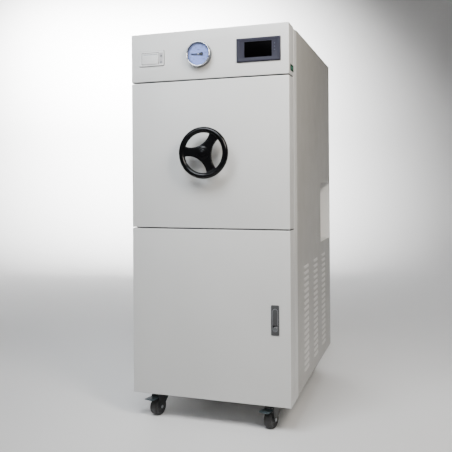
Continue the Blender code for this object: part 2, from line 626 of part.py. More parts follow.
def make_handwheel(finishes):
    centre = (0, back(0), CHAMBER_Z)
    section = arc((RIM_RADIUS, RIM_PLANE), RIM_THICKNESS, 0, math.tau, 12)[:-1]
    rim = turned(section, centre)
    web = add("handwheel", rod(0.078, (0, back(RIM_PLANE - 0.005), CHAMBER_Z),
                               (0, back(RIM_PLANE + 0.005), CHAMBER_Z), steps=40), finishes["black"],
              smooth=True)
    lenses = []
    for step in range(3):
        angle = SPOKE_ANGLE + math.radians(60 + 120 * step)
        turn = [(u * math.cos(angle) - v * math.sin(angle), u * math.sin(angle) + v * math.cos(angle))
                for u, v in lens_outline()]
        lenses.append(prism([(u, CHAMBER_Z + v) for u, v in turn], back(RIM_PLANE - 0.02),
                            back(RIM_PLANE + 0.02)))
    cut(web, *lenses)
    join(web, rim, turned([(0, RIM_PLANE - 0.007), (0.012, RIM_PLANE - 0.007), (0.017, RIM_PLANE - 0.004),
                           (0.019, -0.020), (0.017, -0.016), (0, -0.016)], centre, steps=24))
    shaft = [(0, -0.016 + TOUCH), (SPINDLE_RADIUS, -0.016 + TOUCH), (SPINDLE_RADIUS, 0.050), (0.046, 0.050),
             (0.046, 0.060), (SPINDLE_RADIUS, 0.060), (SPINDLE_RADIUS, DISC_FRONT + 0.003),
             (0, DISC_FRONT + 0.003)]
    spindle = add("handwheel_spindle", turned(shaft, centre, steps=24), finishes["zinc"], smooth=True)
    pivot(web, centre)
    pivot(spindle, centre)


LOCK_LOW = (0.2252, CASTOR_HEIGHT + 0.2427)
LOCK_HIGH = (0.2532, CASTOR_HEIGHT + 0.3448)
LOCK_MIDDLE = (LOCK_LOW[0] + LOCK_HIGH[0]) / 2
SLOT_HALF = 0.0085
SLOT_LOW, SLOT_HIGH = LOCK_LOW[1] + 0.013, LOCK_HIGH[1] - 0.013
LEVER_LOW = SLOT_LOW + 0.0185
KEY_RADIUS = 0.0078


def make_service_door(finishes):
    hinge_point = (-HALF_WIDTH, back(HINGE_Y), 0)
    door = pan("service_door", (-HALF_WIDTH, back(0), CASTOR_HEIGHT),
               (HALF_WIDTH, back(PAN_DEPTH), LOWER_SEAM - SEAM / 2), finishes["paint"])
    cut(door, inset_block(LOCK_LOW, LOCK_HIGH, 0.0025, -0.01, 0.01))
    pivot(door, hinge_point)
    plate = add("lock_plate", inset_block(LOCK_LOW, LOCK_HIGH, 0, -0.0025, -TOUCH), finishes["lock"])
    rounded(plate, 0.0008)
    join(plate, inset_block(LOCK_LOW, LOCK_HIGH, 0.003, -0.001, 0.020))
    cut(plate, prism(stadium(LOCK_MIDDLE, SLOT_LOW, SLOT_HIGH, SLOT_HALF), back(-0.01), back(0.014)))
    pivot(plate, hinge_point)
    lever = add("lock_lever", prism(stadium(LOCK_MIDDLE, LEVER_LOW, SLOT_HIGH - 0.0012, SLOT_HALF - 0.0006),
                                    back(-0.0030), back(0.0030)), finishes["lock"])
    pivot(lever, (LOCK_MIDDLE, back(-0.0010), SLOT_HIGH - 0.0070))
    key_z = SLOT_LOW + SLOT_HALF
    pivot(add("lock_button", rod(KEY_RADIUS, (LOCK_MIDDLE, back(-0.0030), key_z),
                                 (LOCK_MIDDLE, back(0.0090), key_z), steps=24), finishes["chrome"],
              smooth=True), (LOCK_MIDDLE, back(0), key_z))
    cam_z = (LOCK_LOW[1] + LOCK_HIGH[1]) / 2
    cam = add("lock_cam", block((LOCK_MIDDLE - 0.008, back(0.0835), cam_z - 0.044),
                                (LOCK_MIDDLE + 0.008, back(0.0865), cam_z + 0.010)), finishes["zinc"])
    join(cam, rod(0.005, (LOCK_MIDDLE, back(0.020 + TOUCH), cam_z), (LOCK_MIDDLE, back(0.088), cam_z),
                  steps=16))
    pivot(cam, (LOCK_MIDDLE, back(0.0835), cam_z))


LEG_GAP = 0.002
LEG_SHEET = 0.003
CROWN_LOW, CROWN_HIGH = 0.0735, 0.0785
BRAKE_DEPTH, BRAKE_HEIGHT = 0.046, 0.0690


def make_castor(name, x, depth, finishes):
    """One castor. It is drawn trailing along -Y from its swivel axis, then turned about that axis."""
    swivel = bpy.data.objects.new(f"{name}_swivel", None)
    bpy.context.scene.collection.objects.link(swivel)
    swivel.location = (x, back(depth), 0)
    swivel.rotation_euler.z = CASTOR_TURN
    axle = (0, -CASTOR_TRAIL, WHEEL_RADIUS)
    leg_inner = WHEEL_WIDTH / 2 + LEG_GAP
    leg_outer = leg_inner + LEG_SHEET
    stem = rod(0.021, (0, 0, CROWN_LOW), (0, 0, CASTOR_PLATE_LOW - TOUCH), "Z", 16)
    fork = add(f"castor_fork_{name}", stem, finishes["fork"], smooth=True)
    crown = block((-leg_outer, -0.044, CROWN_LOW), (leg_outer, 0.021, CROWN_HIGH))
    hub_side = arc((-CASTOR_TRAIL, WHEEL_RADIUS), 0.009, math.radians(200), math.radians(340), 6)
    outline = hub_side + [(0.021, CROWN_LOW + 0.002), (-0.044, CROWN_LOW + 0.002)]
    legs = [prism(outline, side * leg_inner, side * leg_outer, "X") for side in (-1, 1)]
    pin = rod(0.0040, (-leg_outer - 0.0015, *axle[1:]), (leg_outer + 0.0015, *axle[1:]), "X", 12)
    join(fork, crown, *legs, pin)
    half = WHEEL_WIDTH / 2
    tread = [(0.0043, -half), (WHEEL_RADIUS - 0.003, -half), (WHEEL_RADIUS, -half + 0.005),
             (WHEEL_RADIUS, half - 0.005), (WHEEL_RADIUS - 0.003, half), (0.0043, half)]
    wheel = add(f"castor_wheel_{name}", turned(tread[::-1], axle, "X", 28), finishes["rubber"], smooth=True)
    pivot(wheel, axle)
    tip, wide = -CASTOR_TRAIL - 0.058, 0.0195
    outline = [(-leg_inner + 0.001, -BRAKE_DEPTH + 0.006), (leg_inner - 0.001, -BRAKE_DEPTH + 0.006),
               (leg_inner - 0.001, -BRAKE_DEPTH - 0.004), (wide, -BRAKE_DEPTH - 0.010), (wide, tip + 0.004),
               (wide - 0.004, tip), (-wide + 0.004, tip), (-wide, tip + 0.004),
               (-wide, -BRAKE_DEPTH - 0.010), (-leg_inner + 0.001, -BRAKE_DEPTH - 0.004)]
    brake = add(f"castor_brake_{name}", prism(outline, BRAKE_HEIGHT - 0.0015, BRAKE_HEIGHT + 0.0015, "Z"),
                finishes["pedal"])
    rounded(brake, 0.0008, 1)
    pivot(brake, (0, -BRAKE_DEPTH, BRAKE_HEIGHT))
    for piece in (fork, wheel, brake):
        piece.parent = swivel
    for change in fork.modifiers:
        change.object.parent = swivel


def main():
    clear_scene()
    finishes = make_finishes()
    make_cabinet(finishes)
    make_control_panel(finishes)
    make_gauge(finishes)
    make_printer(finishes)
    make_hmi(finishes)
    make_chamber(finishes)
    make_cradle(finishes)
    make_trays(finishes)
    make_services(finishes)
    hinge("upper", LOWER_SEAM + 0.030, UPPER_SEAM - 0.030, finishes)
    hinge("lower", CASTOR_HEIGHT + 0.060, LOWER_SEAM - 0.060, finishes)
    make_chamber_door(finishes)
    make_handwheel(finishes)
    make_service_door(finishes)
    for name, x, depth in castor_places():
        make_castor(name, x, depth, finishes)


main()
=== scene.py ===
"""The finished look of the floor-standing autoclave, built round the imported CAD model."""

import json
from math import acos, asin, atan2, cos, pi, radians, sin, tau

import bmesh
import bpy
from mathutils import Matrix, Vector


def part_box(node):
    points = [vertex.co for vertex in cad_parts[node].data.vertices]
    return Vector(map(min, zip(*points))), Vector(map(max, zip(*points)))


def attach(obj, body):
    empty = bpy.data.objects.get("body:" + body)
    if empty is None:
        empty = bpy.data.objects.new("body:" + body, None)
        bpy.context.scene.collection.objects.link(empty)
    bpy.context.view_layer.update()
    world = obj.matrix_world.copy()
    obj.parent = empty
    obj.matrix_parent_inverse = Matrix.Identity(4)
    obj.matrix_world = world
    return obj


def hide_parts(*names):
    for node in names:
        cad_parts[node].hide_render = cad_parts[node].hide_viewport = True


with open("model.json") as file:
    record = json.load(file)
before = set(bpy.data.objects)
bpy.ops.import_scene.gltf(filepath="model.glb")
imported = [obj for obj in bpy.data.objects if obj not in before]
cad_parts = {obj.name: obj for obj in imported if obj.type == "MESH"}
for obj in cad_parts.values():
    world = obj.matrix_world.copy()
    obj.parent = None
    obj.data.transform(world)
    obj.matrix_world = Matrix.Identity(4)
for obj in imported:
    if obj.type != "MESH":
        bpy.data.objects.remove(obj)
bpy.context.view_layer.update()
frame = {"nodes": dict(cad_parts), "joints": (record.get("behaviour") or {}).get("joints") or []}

NODES = frame["nodes"]


# The frame's own sizes, which everything below is placed from.
DOOR_LOW, DOOR_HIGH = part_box("door_cover")
SERVICE_LOW, SERVICE_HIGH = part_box("service_door")
CONTROL_LOW, CONTROL_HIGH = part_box("control_panel")
FRAME_LOW, FRAME_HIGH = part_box("front_frame")
WHEEL_LOW, WHEEL_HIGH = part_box("handwheel")
FRONT = DOOR_LOW.y
HALF = DOOR_HIGH.x
BODY_BOTTOM = SERVICE_LOW.z
TOP = CONTROL_HIGH.z
AXIS_Z = (WHEEL_LOW.z + WHEEL_HIGH.z) / 2

SKIN = 0.0012
SEAM_EASE = Vector((0, 0, 0.0007))
SHARP = 32


def back(distance):
    """The y of a plane this far behind the front face."""
    return FRONT + distance


def middle_of(node):
    """A CAD node's low and high corners, and the point halfway between them."""
    low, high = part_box(node)
    return low, high, (low + high) / 2


# ---- materials

def preset(node, values):
    """Set a node's unlinked inputs."""
    for socket, value in values.items():
        node.inputs[socket].default_value = value


def shader_of(name, colour, roughness, metallic=0.0, coat=0.0, specular=0.5):
    """A Principled material and its node tree, with the values that are the same all over set on it."""
    made = bpy.data.materials.new(name)
    made.use_nodes = True
    shader = made.node_tree.nodes["Principled BSDF"]
    preset(shader, {"Base Color": (*colour, 1), "Roughness": roughness, "Metallic": metallic,
                    "Coat Weight": coat, "Coat Roughness": 0.12, "Specular IOR Level": specular})
    made.diffuse_color = (*colour, 1)
    return made, made.node_tree, shader


def noise(tree, scale, detail, stretch=(1, 1, 1)):
    """The value of a noise texture in object coordinates, which are metres in this frame."""
    place = tree.nodes.new("ShaderNodeTexCoord")
    mapping = tree.nodes.new("ShaderNodeMapping")
    texture = tree.nodes.new("ShaderNodeTexNoise")
    preset(mapping, {"Scale": stretch})
    preset(texture, {"Scale": scale, "Detail": detail})
    tree.links.new(place.outputs["Object"], mapping.inputs["Vector"])
    tree.links.new(mapping.outputs["Vector"], texture.inputs["Vector"])
    return texture.outputs[0]


def spread(tree, source, low, high, start=0.3, end=0.7):
    """Map a texture's value to a range."""
    ramp = tree.nodes.new("ShaderNodeMapRange")
    preset(ramp, {"From Min": start, "From Max": end, "To Min": low, "To Max": high})
    tree.links.new(source, ramp.inputs["Value"])
    return ramp.outputs["Result"]


def tinted(tree, shader, source, first, second, *limits):
    """Let a texture's value blend the base colour between two colours."""
    mix = tree.nodes.new("ShaderNodeMix")
    mix.data_type = "RGBA"
    preset(mix, {"A": (*first, 1), "B": (*second, 1)})
    tree.links.new(spread(tree, source, 0, 1, *limits), mix.inputs["Factor"])
    tree.links.new(mix.outputs["Result"], shader.inputs["Base Color"])


def dulled(tree, shader, source, low, high):
    """Let a texture's value vary the roughness."""
    tree.links.new(spread(tree, source, low, high), shader.inputs["Roughness"])


def bumped(tree, shader, source, strength, distance):
    bump = tree.nodes.new("ShaderNodeBump")
    preset(bump, {"Strength": strength, "Distance": distance})
    tree.links.new(source, bump.inputs["Height"])
    tree.links.new(bump.outputs["Normal"], shader.inputs["Normal"])


def worn(colour, factor):
    return tuple(min(1.0, channel * factor) for channel in colour)


def paint(name, colour, roughness=0.36):
    """Powder coat: fine orange peel, a little unevenness of gloss and a faint soiling."""
    made, tree, shader = shader_of(name, colour, roughness, coat=0.10)
    tinted(tree, shader, noise(tree, 3.2, 4), worn(colour, 0.965), worn(colour, 1.02))
    dulled(tree, shader, noise(tree, 14, 5), roughness - 0.03, roughness + 0.06)
    bumped(tree, shader, noise(tree, 900, 2), 0.10, 0.0004)
    return made


def plastic(name, colour, roughness=0.42, grain=1400, depth=0.15, coat=0.0, specular=0.5):
    """Moulded plastic with a spark-eroded grain."""
    made, tree, shader = shader_of(name, colour, roughness, coat=coat, specular=specular)
    tinted(tree, shader, noise(tree, 22, 3), worn(colour, 0.92), worn(colour, 1.06))
    fine = noise(tree, grain, 2)
    dulled(tree, shader, fine, roughness - 0.05, roughness + 0.08)
    bumped(tree, shader, fine, depth, 0.0003)
    return made


def metal(name, colour, roughness, scale, depth=0.08, stretch=(1, 1, 1)):
    """Bare metal, brushed along the axis where stretch is smallest."""
    made, tree, shader = shader_of(name, colour, roughness, metallic=1.0)
    grain = noise(tree, scale, 6, stretch)
    tinted(tree, shader, grain, worn(colour, 0.86), worn(colour, 1.08))
    dulled(tree, shader, grain, roughness - 0.07, roughness + 0.12)
    bumped(tree, shader, grain, depth, 0.0004)
    return made


def rubber(name, colour):
    made, tree, shader = shader_of(name, colour, 0.62)
    scuff = noise(tree, 45, 6)
    tinted(tree, shader, scuff, colour, worn(colour, 2.2), 0.45, 0.75)
    dulled(tree, shader, scuff, 0.50, 0.78)
    bumped(tree, shader, scuff, 0.25, 0.0006)
    return made


def glass(name, tint, alpha):
    """Clear cover glass, thin enough that light is only tinted by it."""
    made, tree, shader = shader_of(name, tint, 0.04)
    preset(shader, {"Alpha": alpha})
    dulled(tree, shader, noise(tree, 30, 4), 0.02, 0.08)
    return made


PAINT = paint("powder_coat", (0.545, 0.545, 0.535))
SIDE_PAINT = paint("powder_coat_sides", (0.345, 0.336, 0.312))
# Lighter than the side sheet the hoods are pressed from: a painted highlight on the louvre hoods.
HOOD_HIGHLIGHT_PAINT = paint("powder_coat_hoods_painted_highlight", (0.600, 0.590, 0.565))
FRAME_PAINT = paint("frame_paint", (0.40, 0.40, 0.39), 0.45)
# Lighter than the cabinet sheets: painted light, standing for the front light on the niche's rear wall.
NICHE_LIT_PAINT = paint("niche_painted_light", (0.74, 0.74, 0.73), 0.42)
STEEL = metal("brushed_stainless", (0.60, 0.60, 0.60), 0.28, 70, stretch=(1, 12, 12))
TURNED = metal("turned_stainless", (0.62, 0.62, 0.61), 0.24, 90, stretch=(6, 1, 6))
CAST = metal("machined_cast_steel", (0.24, 0.25, 0.26), 0.42, 140, 0.2)
ZINC = metal("zinc_plate", (0.52, 0.54, 0.57), 0.36, 55)
BRASS = metal("brass", (0.68, 0.48, 0.20), 0.30, 80)
CHROME = metal("chrome", (0.78, 0.79, 0.80), 0.12, 40, 0.02)
DARK_CHROME = metal("shaded_chrome", (0.13, 0.135, 0.15), 0.25, 40, 0.02)
BLACK = plastic("black_phenolic", (0.0020, 0.0020, 0.0024), 0.14, 260, 0.03, coat=0.08, specular=0.16)
TYRE = rubber("castor_tread", (0.018, 0.018, 0.018))
HUB = plastic("castor_hub", (0.045, 0.045, 0.047), 0.40)
FORK = paint("castor_black", (0.016, 0.018, 0.019), 0.40)
PEDAL = plastic("pedal_slate", (0.030, 0.045, 0.052), 0.45)
SILICONE = rubber("silicone_seal", (0.50, 0.48, 0.44))
DIAL = plastic("dial_enamel", (0.160, 0.228, 0.580), 0.60, 600, 0.03)
INK = plastic("dial_ink", (0.002, 0.0025, 0.005), 0.60, 600, 0.02, specular=0.05)
RED_INK = plastic("red_ink", (0.45, 0.03, 0.02), 0.50, 600, 0.02)
WHITE = plastic("off_white_plastic", (0.56, 0.56, 0.555))
# Black for the seam seals, and painted shade in the printer's mouth, round the printer and in the electronics
# vents.
SEAL_AND_SHADE = rubber("black_seal_and_painted_shade", (0.012, 0.012, 0.013))
KEY_STRIP = plastic("key_strip", (0.36, 0.35, 0.36), 0.50)
PAPER = plastic("thermal_paper", (0.78, 0.77, 0.73), 0.80, 900, 0.2)
BEZEL = plastic("bezel_plastic", (0.0115, 0.0115, 0.023), 0.60, specular=0.3)
SCREEN = plastic("screen_glass", (0.0004, 0.0004, 0.0005), 0.30, 900, 0.01, specular=0.01)
MARKER = plastic("panel_marker", (0.040, 0.043, 0.070), 0.50)
LOCK = plastic("lock_plastic", (0.047, 0.048, 0.050), 0.45)
# Pale plastic for the printer's button and catch, and painted highlight on the lock's rim.
PALE_PLASTIC_AND_HIGHLIGHT = plastic("pale_plastic_and_painted_highlight", (0.20, 0.205, 0.22), 0.45)
GREEN = plastic("green_label", (0.0004, 0.020, 0.011), 0.60, 500, 0.02, specular=0.10)
GREEN_PALE = plastic("green_label_middle", (0.07, 0.20, 0.14), 0.55, 500, 0.02, specular=0.1)
TANK = plastic("tank_polythene", (0.60, 0.63, 0.62), 0.45, 300, 0.1)
MOTOR = paint("motor_enamel", (0.055, 0.105, 0.175), 0.38)
GLASS = glass("gauge_window", (0.60, 0.66, 0.72), 0.03)


# ---- mesh tools

def link(name, data):
    """Put data in the scene as an object."""
    obj = bpy.data.objects.new(name, data)
    bpy.context.scene.collection.objects.link(obj)
    return obj


def mesh_of(name, shape):
    """Turn a bmesh into a mesh and free it."""
    mesh = bpy.data.meshes.new(name)
    shape.to_mesh(mesh)
    shape.free()
    return mesh


def shade(mesh, angle):
    """Smooth a mesh except across edges sharper than the angle."""
    mesh.shade_smooth()
    mesh.set_sharp_from_angle(angle=radians(angle))


def add(name, shape, material, angle=SHARP):
    """Make an object of a bmesh."""
    bmesh.ops.recalc_face_normals(shape, faces=shape.faces)
    mesh = mesh_of(name, shape)
    mesh.materials.append(material)
    shade(mesh, angle)
    return link(name, mesh)


def final_mesh(obj):
    """An object's mesh with its modifiers applied, or the mesh of its text."""
    graph = bpy.context.evaluated_depsgraph_get()
    return bpy.data.meshes.new_from_object(obj.evaluated_get(graph))


def settle(obj, angle=SHARP):
    """Apply an object's modifiers and shade it again."""
    mesh = final_mesh(obj)
    obj.modifiers.clear()
    obj.data = mesh
    shade(mesh, angle)


def thicken(obj, thickness, even=False):
    """Give a surface a sheet's thickness, measured inwards."""
    sheet = obj.modifiers.new("sheet", "SOLIDIFY")
    sheet.thickness = thickness
    sheet.offset = -1
    sheet.use_even_offset = even
    settle(obj)


def put(shape, low, high):
    size, middle = Vector(high) - Vector(low), (Vector(high) + Vector(low)) / 2
    bmesh.ops.create_cube(shape, size=1, matrix=Matrix.LocRotScale(middle, None, size))


def round_off(shape, edges, offset, segments=3):
    bmesh.ops.bevel(shape, geom=edges, offset=offset, segments=segments, affect="EDGES", profile=0.5)


def block(low, high, edge=0.0, segments=3):
    """A box between two corners, with rounded edges."""
    shape = bmesh.new()
    put(shape, low, high)
    if edge:
        round_off(shape, shape.edges[:], edge, segments)
    return shape


def turned(profile, centre, axis="Y", steps=64):
    """Turn (radius, distance) points about an axis. A profile that doesn't start on the axis makes a ring."""
    shape = bmesh.new()
    direction = {"X": Vector((1, 0, 0)), "Y": Vector((0, 1, 0)), "Z": Vector((0, 0, 1))}[axis]
    outward = Vector((1, 0, 0)) if axis == "Z" else Vector((0, 0, 1))
    centre = Vector(centre)
    corners = [shape.verts.new(centre + outward * radius + direction * along) for radius, along in profile]
    edges = [shape.edges.new(pair) for pair in zip(corners, corners[1:])]
    if profile[0][0] > 0:
        edges.append(shape.edges.new((corners[-1], corners[0])))
    bmesh.ops.spin(shape, geom=corners + edges, cent=centre, axis=direction, angle=tau,
                   steps=steps, use_merge=True)
    bmesh.ops.remove_doubles(shape, verts=shape.verts, dist=1e-6)
    return shape


def rod(radius, start, end, centre, axis="Y", steps=64):
    """A plain cylinder whose ends are start and end from the centre."""
    return turned([(0, start), (radius, start), (radius, end), (0, end)], centre, axis, steps)


def arc(centre, radius, first, last, steps):
    angles = [first + (last - first) * step / steps for step in range(steps + 1)]
    return [(centre[0] + radius * cos(a), centre[1] + radius * sin(a)) for a in angles]


def shifted(points, u, v):
    """A profile or outline moved by (u, v)."""
    return [(u + first, v + second) for first, second in points]


def mirrored(points):
    """Points and, in reverse order, their mirror images in v."""
    return points + [(u, -v) for u, v in reversed(points)]


def hexagon(centre, radius):
    return arc(centre, radius, 0, tau * 5 / 6, 5)


def prism(outline, start, end, axis="Y", edge=0.0):
    """Extrude an outline along an axis and round the rims of its two ends."""
    place = {"X": lambda u, v, w: (w, u, v), "Y": lambda u, v, w: (u, w, v), "Z": lambda u, v, w: (u, v, w)}
    shape = bmesh.new()
    rings = [[shape.verts.new(place[axis](u, v, w)) for u, v in outline] for w in (start, end)]
    caps = [shape.faces.new(ring) for ring in rings]
    join_rings(shape, *rings)
    if edge:
        round_off(shape, [rim for cap in caps for rim in cap.edges], edge)
    return shape


def join_rings(shape, first, second):
    """Faces between two closed rings of vertices."""
    for index in range(len(first)):
        following = (index + 1) % len(first)
        shape.faces.new((first[index], first[following], second[following], second[index]))


def rounded(low, high, radius, steps=6):
    """The outline of a rectangle with round corners."""
    (u0, v0), (u1, v1) = low, high
    corners = ((u1 - radius, v1 - radius, 0), (u0 + radius, v1 - radius, 90),
               (u0 + radius, v0 + radius, 180), (u1 - radius, v0 + radius, 270))
    points = []
    for u, v, start in corners:
        points += arc((u, v), radius, radians(start), radians(start + 90), steps)
    return points


def facing(low, high, radius, grow=0.0, steps=6):
    """The rounded outline of a box seen from the front, grown by a margin."""
    return rounded((low.x - grow, low.z - grow), (high.x + grow, high.z + grow), radius, steps)


def merge(shapes):
    """Put several bmeshes into one."""
    whole = bmesh.new()
    for shape in shapes:
        mesh = mesh_of("part", shape)
        whole.from_mesh(mesh)
        bpy.data.meshes.remove(mesh)
    return whole


def carve(obj, operation, shapes):
    for shape in shapes:
        bmesh.ops.recalc_face_normals(shape, faces=shape.faces)
        helper = link("tool", mesh_of("tool", shape))
        change = obj.modifiers.new("carve", "BOOLEAN")
        change.operation = operation
        change.object = helper
        settle(obj)
        bpy.data.objects.remove(helper, do_unlink=True)
    return obj


def cut(obj, *shapes):
    """Cut shapes out of an object."""
    return carve(obj, "DIFFERENCE", shapes)


def join(obj, *shapes):
    """Join shapes to an object."""
    return carve(obj, "UNION", shapes)


def stand_for(obj, body, *nodes):
    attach(obj, body)
    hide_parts(*nodes)


def fit(name, shape, material, body, *nodes, angle=SHARP, place=None):
    """Make a piece that rides on a body, in place of the nodes named, if any. A place moves it first."""
    obj = add(name, shape, material, angle)
    if place:
        obj.data.transform(place)
    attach(obj, body)
    if nodes:
        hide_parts(*nodes)


# ---- cabinet

PAN_FOLD, PAN_FLANGE = 0.0022, 0.014
SIDE_FOLD, SIDE_RETURN = 0.0080, 0.010


def sheet_box(name, low, high, radius, thickness=SKIN, flange=0.0, open_below=False, cuts=()):
    """A folded sheet box, open behind. A flange leaves a folded-in border round that opening."""
    shape = bmesh.new()
    put(shape, low, high)
    shape.normal_update()
    gone = [face for face in shape.faces if face.normal.y > 0.9]
    if flange:
        bmesh.ops.inset_region(shape, faces=gone, thickness=flange, use_even_offset=True)
    if open_below:
        gone += [face for face in shape.faces if face.normal.z < -0.9]
    bmesh.ops.delete(shape, geom=gone, context="FACES")
    folds = [rim for rim in shape.edges if len(rim.link_faces) == 2 and rim.calc_face_angle(0) > 1]
    round_off(shape, folds, radius, 5)
    obj = add(name, shape, PAINT)
    thicken(obj, thickness, even=True)
    return cut(obj, *cuts)


def pan(name, low, high, *cuts):
    """A front panel: a shallow pan of sheet with a folded-in border behind."""
    return sheet_box(name, low, high, PAN_FOLD, flange=PAN_FLANGE, cuts=cuts)


def front_block(low, high, margin, front=-0.02, rear=0.02, edge=0.0):
    """A box through the front sheet, smaller by a margin than an outline given by two corners."""
    return block((low.x + margin, back(front), low.z + margin),
                 (high.x - margin, back(rear), high.z - margin), edge)


def seam_seal(name, edge, side, body):
    """The black strip glued along a horizontal edge of a pan, inside the seam. Side -1 puts it underneath."""
    inset = 0.0012
    z0, z1 = sorted((edge - side * SEAM_EASE.z, edge + side * 0.0006))
    fit(name, block((-HALF + inset, back(0.0035), z0), (HALF - inset, back(0.066), z1)), SEAL_AND_SHADE, body)


def stiffeners(name, body, base, top, places):
    """Upright ribs glued to the inside of a door pan."""
    ribs = []
    for x in places:
        web = rounded((x - 0.016, back(SKIN + 0.0003)), (x + 0.016, back(0.016)), 0.003, 4)
        ribs.append(prism(web, base + 0.030, top - 0.030, "Z"))
    fit(name, merge(ribs), PAINT, body)


def make_doors():
    hole = rod(0.0140, 0, 0.04, (0, back(-0.02), AXIS_Z), steps=40)
    cover = pan("chamber_door_cover", DOOR_LOW + SEAM_EASE, DOOR_HIGH - SEAM_EASE, hole)
    stand_for(cover, "chamber_door", "door_cover")
    lock_hole = front_block(*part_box("lock_plate"), 0.0025)
    door = pan("service_door_sheet", SERVICE_LOW, SERVICE_HIGH - SEAM_EASE, lock_hole)
    stand_for(door, "lower_door", "service_door")
    seam_seal("service_door_seal", SERVICE_HIGH.z, 1, "lower_door")
    stiffeners("chamber_door_stiffeners", "chamber_door", DOOR_LOW.z, DOOR_HIGH.z, (-0.235, 0.235))
    stiffeners("service_door_stiffeners", "lower_door", SERVICE_LOW.z, SERVICE_HIGH.z, (-0.18, 0.0, 0.18))


def make_control_panel():
    _, _, centre = middle_of("gauge_case")
    panel = pan("control_fascia", CONTROL_LOW + SEAM_EASE, CONTROL_HIGH,
                front_block(*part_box("printer_housing"), 0.0028),
                front_block(*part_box("hmi_bezel"), 0.0062),
                rod(0.0425, 0, 0.04, (centre.x, back(-0.02), centre.z)))
    stand_for(panel, "cabinet", "control_panel")
    seam_seal("fascia_seal", CONTROL_LOW.z, -1, "cabinet")
    low, high = BODY_BOTTOM + 1.1405, BODY_BOTTOM + 1.1630
    label = rounded((back(0.0190), low), (back(0.0700), high), 0.0015, 4)
    fit("status_label", prism(label, HALF, HALF + 0.0006, "X"), GREEN, "cabinet")
    patch = rounded((back(0.0350), low + 0.006), (back(0.0540), high - 0.006), 0.001, 4)
    fit("status_label_middle", prism(patch, HALF + 0.0006, HALF + 0.0009, "X"), GREEN_PALE, "cabinet")


def make_front_frame():
    """The portal behind the doors, with openings for the fittings, the chamber mouth and the service bay."""
    ahead = FRAME_LOW.y - 0.01
    openings = ((0.272, CONTROL_LOW.z + 0.0165, TOP - 0.020),
                (0.2625, BODY_BOTTOM + 0.045, DOOR_LOW.z - 0.0235))
    cuts = [block((-half, ahead, low), (half, FRAME_LOW.y + 0.02, high), 0.004)
            for half, low, high in openings]
    cuts.append(rod(0.209, 0, 0.03, (0, ahead, AXIS_Z), steps=96))
    portal = sheet_box("front_portal", FRAME_LOW, FRAME_HIGH, SIDE_FOLD, 0.002, open_below=True, cuts=cuts)
    stand_for(portal, "cabinet", "front_frame")


LOUVRE_COLUMNS = (0.281, 0.480, 0.677)
LOUVRE_ROWS, LOUVRE_PITCH, LOUVRE_START = 18, 0.0225, 0.0556
LOUVRE_HALF, LOUVRE_RISE, LOUVRE_HEIGHT = 0.046, 0.0037, 0.010
LOUVRE_SHEET = 0.0008


def border(grid):
    """The vertices round the edge of a grid."""
    return grid[0] + [line[-1] for line in grid[1:]] + grid[-1][-2::-1] + [line[0] for line in grid[-2:0:-1]]


def louvre(side, middle_y, bottom):
    """One pressed hood: a sheet that swells out to a straight lip, with an open lower edge."""
    along, up = 28, 5
    shape = bmesh.new()
    grids = []
    for layer in (0, -LOUVRE_SHEET):
        grid = []
        for step in range(up + 1):
            v = step / up
            line = []
            for place in range(along + 1):
                u = 2 * place / along - 1
                ends = (1 - abs(u) ** 6) ** 0.6
                swell = LOUVRE_RISE * ends * cos(v * pi / 2) ** 0.5 if v < 1 else 0
                x = side * HALF + side * (swell + layer)
                line.append(shape.verts.new((x, middle_y + u * LOUVRE_HALF, bottom + v * LOUVRE_HEIGHT)))
            grid.append(line)
        grids.append(grid)
    for grid in grids:
        for low, high in zip(grid, grid[1:]):
            for index in range(along):
                shape.faces.new((low[index], low[index + 1], high[index + 1], high[index]))
    join_rings(shape, *(border(grid) for grid in grids))
    return shape


def side_sheet(name, side, node, *openings):
    """A side panel with a folded front edge, louvres with a slot under each, and any openings."""
    low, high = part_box(node)
    skin = side * HALF
    corners = ((skin - side * SIDE_RETURN, low.y), (skin, low.y), (skin, high.y))
    shape = bmesh.new()
    under, over = ([shape.verts.new((x, y, z)) for x, y in corners] for z in (low.z, high.z))
    for index in range(2):
        shape.faces.new((under[index], under[index + 1], over[index + 1], over[index]))
    round_off(shape, [rim for rim in shape.edges if len(rim.link_faces) == 2], SIDE_FOLD, 6)
    bmesh.ops.recalc_face_normals(shape, faces=shape.faces)
    if sum(face.normal.x * face.calc_area() for face in shape.faces) * side < 0:
        bmesh.ops.reverse_faces(shape, faces=shape.faces)
    mesh = mesh_of(name, shape)
    mesh.materials.append(SIDE_PAINT)
    sheet = link(name, mesh)
    thicken(sheet, SKIN)
    slots = bmesh.new()
    hoods = []
    for column in LOUVRE_COLUMNS:
        for row in range(LOUVRE_ROWS):
            bottom = BODY_BOTTOM + LOUVRE_START + row * LOUVRE_PITCH
            hoods.append(louvre(side, back(column), bottom))
            put(slots, (skin - 0.004, back(column - LOUVRE_HALF + 0.006), bottom + 0.0004),
                (skin + 0.004, back(column + LOUVRE_HALF - 0.006), bottom + 0.0065))
    cut(sheet, slots, *openings)
    stand_for(sheet, "cabinet", node)
    # The hoods take the lighter paint: painted highlight.
    fit(f"{name}_louvres", merge(hoods), HOOD_HIGHLIGHT_PAINT, "cabinet", angle=60)


def make_cabinet():
    make_front_frame()
    low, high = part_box("service_niche")
    rim = SKIN + 0.0005
    niche = block((high.x - 0.01, low.y + rim, low.z + rim),
                  (high.x + 0.01, high.y - rim, high.z - rim), 0.003)
    side_sheet("right_side_sheet", 1, "side_panel_right", niche)
    side_sheet("left_side_sheet", -1, "side_panel_left")


# ---- handwheel

RIM_RADIUS, RIM_THICKNESS = 0.0795, 0.0104
SPOKE_ANGLE = radians(55.4)


